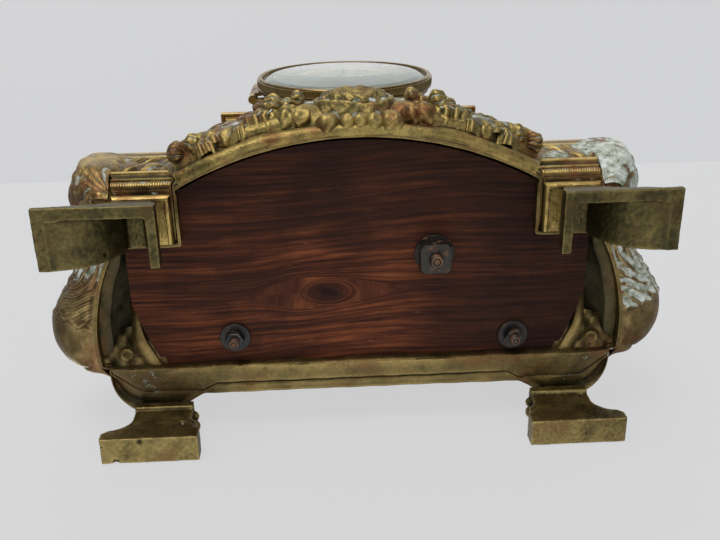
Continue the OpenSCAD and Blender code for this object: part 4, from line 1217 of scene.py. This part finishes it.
# ---------------------------------------------------------------- pedestal, clock, ink pots and finial
def gadroons(name, profile, centre, material, ribs, depth, body=STAND, twist=0.0, lift=0.12, rows=80,
        n=216, slot="cast_brass"):
    """A ribbed skin turned over a CAD profile of (radius, height) points."""
    curve = spline(profile, rows)
    t = np.linspace(0, 1, rows)
    fade = smoothstep(0, 0.1, t) * smoothstep(1, 0.9, t)
    rib = lambda a, row: np.abs(np.sin(ribs * a / 2 + twist * t[row])) ** 0.7
    points = lathe(curve, n, lambda a, row: lift + depth * fade[row] * rib(a, row)) + np.asarray(centre,
        float)
    a = np.linspace(0, 2 * math.pi, n, endpoint=False)[None, :]
    shape = Shape()
    shape.loft(points, cav=(0.7 * (1 - rib(a, np.arange(rows)[:, None])) * fade[:, None]).clip(0, 1))
    return shape.piece(name, material, body, slot=slot)


def beads(name, points, radius, material):
    shape = Shape()
    for p in points:
        shape.merge(bud(radius, 0, 1.0, 12, 8), move(*p))
    return shape.piece(name, material, slot="cast_brass")


def panel(width, height, raised=0.9):
    """A mitred frame moulding in the XY plane, its face up +Z."""
    rings = []
    for inset, out in ((0, 0), (0.3, 0.6), (0.9, raised), (1.5, 0.6), (1.9, 0.1)):
        u, v = width / 2 - inset, height / 2 - inset
        rings.append([(-u, -v, out), (u, -v, out), (u, v, out), (-u, v, out)])
    shape = Shape()
    shape.grid(np.array(rings), close_u=True, close_v=True)
    return shape


def palmette(size):
    """A generic fan of seven leaves with a round boss at its root."""
    shape = Shape()
    for k in range(-3, 4):
        blade = leaf(size * (1 - 0.07 * abs(k)), size * 0.34, 3, arch=0.25, rise=0.05, tip_curl=0.3,
            thick=0.8, nu=26, nv=13)
        shape.merge(blade, rot_z(math.radians(90 - 25 * k)))
    shape.merge(bud(size * 0.2, 8, 0.7, 32, 14))
    return shape


def build_pedestal():
    soften("pedestal_tier", BRASS_PLAIN, 0.0006, segments=3)
    soften("pedestal_block", BRASS_PLAIN, 0.0005)
    soften("drum_cradle", BRASS_PLAIN, 0.0006, segments=3)
    x0, y0, y1 = tier_high[0] - 6.2, tier_low[1] + 3.4, tier_high[1] - 5.6
    z = DECK_Z + 14.9
    front = [(x, y0, z) for x in np.arange(-x0 + 7, x0 - 6.9, 3.0)]
    sides = [(s * x0, y, z) for s in (-1, 1) for y in np.arange(y0 + 8, y1 - 7, 3.0)]
    beads("tier_beads", front + sides, 1.25, BRASS_ORNAMENT)
    face = block_low[1] + 7.5
    top = block_high[2]
    shape = Shape()
    out = rot_x(math.radians(90))
    height = top - 112 - 3.5
    middle = 101 + (top - 112) / 2
    shape.merge(panel(2 * block_high[0] - 24, height), move(0, face, middle) @ out)
    shape.merge(palmette(9.5), move(0, face - 0.2, middle - 5.5) @ out)
    for s in (-1, 1):
        turn = rot_z(math.radians(90 * s))
        shape.merge(panel(block_high[1] - face - 16, height), move(s * (block_high[0] - 7.5),
            (face + block_high[1] - 8) / 2, middle) @ turn @ out)
        shape.merge(palmette(8.5), move(s * (block_high[0] - 7.4), -2, middle - 5) @ turn @ out)
        for x in (26, 46):
            shape.merge(bud(3.4, 8, 0.6), move(s * x, face - 0.1, middle) @ out)
        shape.merge(bud(6.6, 10, 0.42), move(s * 50, -36, top + 8) @ out)
        shape.merge(bud(4.4, 8, 0.5), move(s * 48, -32, top + 27) @ out)
        for y_leaf in (-22, 2):
            shape.merge(leaf(20, 11, 5, arch=0.22, rise=0.12, tip_curl=0.4, thick=1.5),
                        move(s * 57.2, y_leaf, top + 2.5) @ rot_z(math.radians(90)) @ rot_x(math.radians(90
                        * s if s > 0 else -90)) @ rot_z(0.15))
    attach(shape.piece("pedestal_ornament", BRASS_ORNAMENT, body=None, slot="cast_brass"), STAND)


def ring_piece(name, profile, material, body=STAND, ripple=None, n=192, slot="polished_brass", cav=0.0,
        centre=(0, 0)):
    """A closed turned section about the clock's axis; depths are millimetres in front of the stand's
    middle.
    """
    shape = Shape()
    points = turn_to_y(lathe(profile, n, ripple)) + [centre[0], 0, CLOCK_Z + centre[1]]
    shape.grid(points, close_u=True, close_v=True, cav=cav)
    return shape, lambda: shape.piece(name, material, body, slot=slot)


NUMERALS = ("XII", "I", "II", "III", "IIII", "V", "VI", "VII", "VIII", "IX", "X", "XI")
STROKES = {"I": ((0.5, 0, 0.5, 1, 0.85),), "V": ((0.05, 1, 0.5, 0, 0.85), (0.5, 0, 0.95, 1, 0.35)),
    "X": ((0.05, 1, 0.95, 0, 0.85), (0.05, 0, 0.95, 1, 0.35))}


def build_dial():
    """Silvered dial with a painted minute track, and raised enamelled numerals.

    Only the centre hole is cut: the winding arbor runs through the face.
    """
    radii = [2.7, 8, 9, 9.2, 9.4, 16, 22, 24, 24.2, 24.5, 31.2, 31.4, 31.7, 32.6, 33.2, 33.4, 33.7, 34.4,
        43.8]
    n = 1440
    a = np.linspace(0, 2 * math.pi, n, endpoint=False)[None, :]
    r = np.array(radii)[:, None]
    minute = np.abs((np.degrees(a) + 3) % 6 - 3)
    hour = np.abs((np.degrees(a) + 15) % 30 - 15)
    mark = ((minute < 0.36) | (hour < 0.8)) & (r > 31.5) & (r < 33.5)
    line = np.isin(np.round(r, 1), (9.2, 24.2, 31.4, 31.7, 33.4))
    face = np.stack([r * np.sin(a), -44.78 + 0 * r * a, CLOCK_Z + r * np.cos(a)], -1)
    shape = Shape()
    shape.grid(face, close_v=True, cav=np.where(mark | line, 1.0, 0.0))
    back = face[[0, -1]] + [0, 1.3, 0]
    shape.grid(back, close_v=True)
    for row, k in ((0, 0), (-1, 1)):
        shape.grid(np.array([face[row], back[k]]), close_v=True)
    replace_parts(shape.piece("dial_face", DIAL, slot="dial"), "dial_plate")
    figures = Shape()
    for hour_number, text in enumerate(NUMERALS):
        theta = math.radians(30 * hour_number)
        widths = [1.9 if c == "I" else 3.9 for c in text]
        start = -sum(widths) / 2
        for c, w in zip(text, widths):
            for x0, y0, x1, y1, thick in STROKES[c]:
                corners = [(x0 * w - thick / 2, y0), (x0 * w + thick / 2, y0), (x1 * w + thick / 2, y1),
                    (x1 * w - thick / 2, y1)]
                corners = [((start + x) * (0.86 + 0.14 * y), 25.1 + 5.6 * y) for x, y in corners]
                quad = np.array([(x * math.cos(theta) + rr * math.sin(theta), -44.84,
                    CLOCK_Z - x * math.sin(theta) + rr * math.cos(theta)) for x, rr in corners])
                figures.add(np.vstack([quad, quad - [0, 0.12, 0]]), [(0, 1, 2, 3), (4, 7, 6, 5),
                    (0, 4, 5, 1), (1, 5, 6, 2), (2, 6, 7, 3), (3, 7, 4, 0)])
            start += w
    figures.piece("dial_numerals", BLACK_ENAMEL, smooth=False, slot="dial")


def build_clock():
    mill = lambda a, row: np.where((row >= 9) & (row <= 12), -0.30 * np.abs(np.sin(95 * a)), 0)
    section = [(48.05, 52.2), (48.05, 55.3), (48.4, 55.8), (49.3, 55.98), (50.1, 55.8), (50.5, 55.3),
        (50.4, 54.9), (50.9, 54.75), (51.15, 54.6),
               (51.2, 54.4), (51.2, 53.3), (51.2, 52.2), (51.2, 51.1), (51.15, 50.9), (50.6, 50.6),
               (50.5, 50.2), (50.9, 49.9), (51.0, 49.5),
               (50.6, 49.1), (49.0, 48.9), (49.0, 46.5), (45.0, 46.5), (45.0, 52.2)]
    shape, _ = ring_piece("", section, None, ripple=mill, n=760)
    shape.loft(lathe([(1.2, 183.4), (2.2, 183.4), (2.4, 183.7), (2.4, 194.8), (2.25, 195), (2.4, 195.2),
        (2.4, 206.3), (2.2, 206.6), (1.2, 206.6)], 40)
               + [-53.2, -46, 0], cav=0.2)
    shape.merge(block((-53.2, -48.4, 183.5), (-48.4, -46.5, 206.5)))
    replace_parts(shape.piece("bezel_milled", BEZEL_BRASS, "bezel", slot="polished_brass"), "bezel_ring")
    shape, make = ring_piece("glass_bevelled", [(0.01, 52.0), (47.4, 52.0), (48.0, 52.3), (48.0, 53.7),
        (47.7, 53.95), (43.4, 55.9), (42.9, 56.0), (0.01, 56.0)],
                             GLASS, "bezel", n=256, slot="glass")
    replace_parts(make(), "bezel_glass")
    shape = Shape()
    rows = np.concatenate([[34, 34, 34.9, 35.7, 35.9], np.linspace(36.2, 41.3, 26),
        [41.5, 41.7, 42.7, 43.9, 43.9]])
    height = np.concatenate([[44.85, 46.5, 46.8, 46.5, 46.0], np.full(26, 46.0),
        [46.0, 46.5, 46.8, 46.6, 44.85]])
    a = np.linspace(0, 2 * math.pi, 1200, endpoint=False)[None, :]
    r = rows[:, None]
    inside = smoothstep(36.0, 36.8, r) * smoothstep(41.5, 40.7, r)
    petal = np.abs(np.cos(30 * a)) ** 0.6 * np.sin(math.pi * ((r - 36) / 5.4).clip(0, 1)) ** 0.5
    stem = 0.5 + 0.5 * np.cos(120 * a + r * 2.2)
    z = height[:, None] + inside * (0.62 * petal + 0.15 * stem) + 0.15 * bump(r, 42.7,
        0.5) * np.cos(150 * a)
    shape.grid(np.stack([r * np.cos(a), -z, CLOCK_Z + r * np.sin(a)], -1), close_v=True, close_u=True,
        cav=inside * (1 - petal))
    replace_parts(shape.piece("slip_ring_chased", GILT, slot="polished_brass"), "slip_ring")
    build_dial()
    soften("minute_hand", BLUE, 0.00012)
    soften("hour_hand", BLUE, 0.00012)
    for node in ("movement_plate_front", "movement_plate_back", "movement_pillars", "mainspring_barrel",
            "pendulum"):
        soften(node, TURNED_PLATE, 0.0002)
    soften("winding_arbor", STEEL, 0.0002)
    soften("drum_case", TURNED_DRUM, 0.0004)
    soften("back_door", TURNED_PLATE, 0.0004)
    rope = lambda a, row: 0.28 * np.sin(64 * a + 1.05 * row) * (row > 0) * (row < 6)
    for k, y in enumerate((-38.5, 16.5)):
        section = [(46.9, 1.6), (47.7, 1.5), (48.3, 0.9), (48.5, 0), (48.3, -0.9), (47.7, -1.5),
            (46.9, -1.6)]
        _, make = ring_piece("drum_rope_%d" % k, [(r, z - y) for r, z in section], BRASS_ORNAMENT,
            ripple=rope, n=576, cav=0.1)
        make()
    _, make = ring_piece("door_rings", [(r, -(27.6 - d)) for r, d in ((14, 1.4), (14.3, 0.6), (15.2, 0.4),
        (16.1, 0.7), (16.4, 1.4), (30, 1.4), (30.3, 0.7), (31.4, 0.5),
                                                                    (32.5, 0.7), (32.8, 1.4), (32.8, 1.8),
                                                                    (14, 1.8))], TURNED_PLATE, "back_door")
    make()


def build_pots():
    for s in (-1, 1):
        side = "left" if s < 0 else "right"
        radius = (pot_high[0] - pot_low[0]) / 2 - 0.2
        centre = (s * (pot_low[0] + pot_high[0]) / 2, pot_low[1] + radius + 0.2, DECK_Z)
        soften("ink_pot_" + side, BRASS_PLAIN, 0.0004)
        soften("pot_liner_" + side, GLAZE, 0.0004)
        soften("pot_lid_" + side, BRASS_PLAIN, 0.0004)
        body = [(radius - 5.4, 5.8), (radius - 4.4, 7.6), (radius - 2.2, 11.5), (radius - 0.9, 16),
            (radius - 0.1, 22), (radius - 0.5, 28), (radius - 1.7, 32.6)]
        gadroons("pot_gadroons_" + side, body, centre, BRASS_ORNAMENT, 22, 0.75)
        gadroons("pot_rope_" + side, [(radius - 1.6, 32.7), (radius - 0.5, 33.3), (radius, 34),
            (radius - 0.2, 34.7), (radius - 0.6, 35.1)], centre, BRASS_ORNAMENT,
                 46, 0.4, rows=12, n=368)
        gadroons("lid_gadroons_" + side, [(18.4, 42.9), (17.4, 44.4), (15.9, 47.4), (14.2, 49.9),
            (10.4, 52.9), (6.2, 54.6)], centre, BRASS_ORNAMENT, 22, 0.7,
                 body="lid_" + side, lift=0.1)
        gadroons("lid_knob_" + side, [(3.1, 57.4), (3.3, 59.2), (5.1, 61.8), (5.3, 64.8), (3.2, 67.4),
            (0.6, 68.3)], centre, BRASS_ORNAMENT, 9, 0.35,
                 body="lid_" + side, lift=0.08, rows=36, n=72)
        ink = Shape()
        ring = lathe([(0.4, 13.0), (12.0, 13.02), (12.6, 13.4), (12.4, 12.2), (0.4, 12.0)],
            64) + np.array(centre)
        ink.loft(ring)
        ink.piece("ink_" + side, INK, slot="glass")
    top = drum_high[2]
    soften("crest_finial", BRASS_PLAIN, 0.0005, segments=3)
    finial = [(3.9, 13.5), (5.6, 15.0), (8.9, 18), (11.2, 21), (12.4, 24), (13.0, 28), (10.2, 30.8)]
    gadroons("finial_urn", finial, (0, -10, top + 3), BRASS_ORNAMENT, 16, 0.7, lift=0.05, rows=60, n=160)
    gadroons("finial_flame", [(9.2, 35), (6.2, 38), (4.3, 41.5), (4.9, 45), (4.1, 48), (1.6, 50.8)],
        (0, -10, top + 3), BRASS_ORNAMENT, 9, 0.6, twist=5.0, lift=0.05,
             rows=60, n=108)
    square = Shape()
    out = rot_x(math.radians(90))
    square.merge(palmette(8), move(0, drum_low[1] + 24.3, top - 4.5) @ out)
    square.piece("finial_palmette", BRASS_ORNAMENT, slot="cast_brass")


build_base()
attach(build_bow().piece("bow_moulding", BRASS_ORNAMENT, body=None, slot="cast_brass"), STAND)
build_shell()
for s in (-1, 1):
    build_garland(s)
    build_scroll(s)
    build_plinth(s)
build_feet()
build_board()
build_fixings()
build_pedestal()
build_clock()
build_pots()


# ---------------------------------------------------------------- stage, light and camera
def one_sided(name, colour, glow, corners):
    """A pale plane that is only seen from the side its normal points to, and casts and bounces nothing."""
    m = Nodes(name)
    tint = m.mix(m.noise(3, 2), colour, tuple(0.97 * c for c in colour))
    m.finish(Base_Color=tint, Roughness=0.85, Specular_IOR_Level=0.1, Emission_Color=(0.985, 0.99, 1.0, 1),
        Emission_Strength=glow)
    clear = m.new("ShaderNodeBsdfTransparent")
    mix = m.new("ShaderNodeMixShader")
    m.put(m.new("ShaderNodeNewGeometry").outputs["Backfacing"], mix.inputs[0])
    m.put(m.bsdf.outputs[0], mix.inputs[1])
    m.put(clear.outputs[0], mix.inputs[2])
    m.put(mix.outputs[0], m.tree.nodes["Material Output"].inputs["Surface"])
    obj = add_piece(name, corners, [(0, 1, 2, 3)], m.mat, body=None, smooth=False, outward=False)
    obj.visible_shadow = False
    obj.visible_diffuse = False
    obj.visible_glossy = False
    return obj


def area_light(name, place, target, size, power, colour=(1, 1, 1)):
    data = bpy.data.lights.new(name, "AREA")
    data.shape = "DISK"
    data.size = size
    data.energy = power
    data.color = colour
    obj = bpy.data.objects.new(name, data)
    obj.location = place
    obj.rotation_euler = (Vector(target) - Vector(place)).to_track_quat("-Z", "Y").to_euler()
    obj.visible_camera = False
    bpy.context.collection.objects.link(obj)
    return obj


back_y = (cad_high[1]) / MM + 0.1
wall_z = 446.0
far = 2600.0
# the stand lies on its back in the main view: this is the table it lies on, and the sheet behind it
one_sided("lying_table", (0.09, 0.09, 0.092), 0.59, [(-far, back_y, wall_z), (-far, back_y, -far),
    (far, back_y, -far), (far, back_y, wall_z)])
one_sided("back_sheet", (0.30, 0.30, 0.305), 0.42, [(-far, back_y, wall_z), (far, back_y, wall_z),
    (far, -far, wall_z), (-far, -far, wall_z)])
# the floor for the upright views
one_sided("floor", (0.16, 0.16, 0.162), 0.52, [(-far, -far, -0.1), (far, -far, -0.1), (far, far, -0.1),
    (-far, far, -0.1)])
for side, corners in (("left", [(-far, -far), (-far, far)]), ("right", [(far, far), (far, -far)]),
        ("front", [(far, -far), (-far, -far)])):
    (x0, y0), (x1, y1) = corners
    one_sided(side + "_wall", (0.16, 0.16, 0.162), 0.52, [(x0, y0, -0.1), (x1, y1, -0.1), (x1, y1, wall_z),
        (x0, y0, wall_z)])

world = bpy.data.worlds.new("studio")
world.use_nodes = True
world.node_tree.nodes["Background"].inputs["Color"].default_value = (0.80, 0.82, 0.85, 1)
world.node_tree.nodes["Background"].inputs["Strength"].default_value = 0.45
bpy.context.scene.world = world

middle = (0, 0, 0.12)
area_light("key", (-0.30, -1.40, -0.15), middle, 0.9, 13, (1, 0.985, 0.96))
area_light("under_fill", (0.55, -0.55, -1.3), middle, 1.2, 4.5, (0.96, 0.98, 1))
area_light("top_fill", (0.1, -0.95, 1.5), middle, 2.8, 13)
area_light("table_bounce", (-0.1, 0.50, -0.55), middle, 1.1, 3.2)
area_light("rear_fill", (-0.7, 1.3, 0.9), middle, 1.0, 5)

# camera: under the feet and a little in front of them, looking up along the stand with its back on the
# table
CAM_DISTANCE = 311.0
CAM_YAW, CAM_PITCH, CAM_ROLL = 0.0412, 0.3900, -0.0204
CAM_X, CAM_RISE = -0.0452 * CAM_DISTANCE, 0.6887 * CAM_DISTANCE
CAM_FOCAL_WIDTHS = 1.1812


def aim(yaw, pitch, roll):
    """Right, up and forward of a camera that starts looking along +Z with -Y up."""
    forward, up, right = Vector((0, 0, 1)), Vector((0, -1, 0)), Vector((1, 0, 0))
    turn = lambda v: Vector((v.x * math.cos(yaw) + v.z * math.sin(yaw), v.y,
        -v.x * math.sin(yaw) + v.z * math.cos(yaw)))
    forward, up, right = turn(forward), turn(up), turn(right)
    forward, up = (forward * math.cos(pitch) - up * math.sin(pitch),
        up * math.cos(pitch) + forward * math.sin(pitch))
    right, up = (right * math.cos(roll) + up * math.sin(roll), up * math.cos(roll) - right * math.sin(roll))
    return right, up, forward


camera_data = bpy.data.cameras.new("camera")
camera_data.sensor_width = 36
camera_data.lens = 36 * CAM_FOCAL_WIDTHS
camera_data.clip_start = 0.01
camera_data.dof.use_dof = False
camera = bpy.data.objects.new("camera", camera_data)
right, up, forward = aim(CAM_YAW, CAM_PITCH, CAM_ROLL)
camera.matrix_world = Matrix.Translation(Vector((CAM_X, cad_high[1] / MM - CAM_RISE, -CAM_DISTANCE))
    * MM) @ Matrix(
    (right, up, -forward)).transposed().to_4x4()
bpy.context.collection.objects.link(camera)
bpy.context.scene.camera = camera
bpy.context.scene.view_settings.view_transform = "Standard"
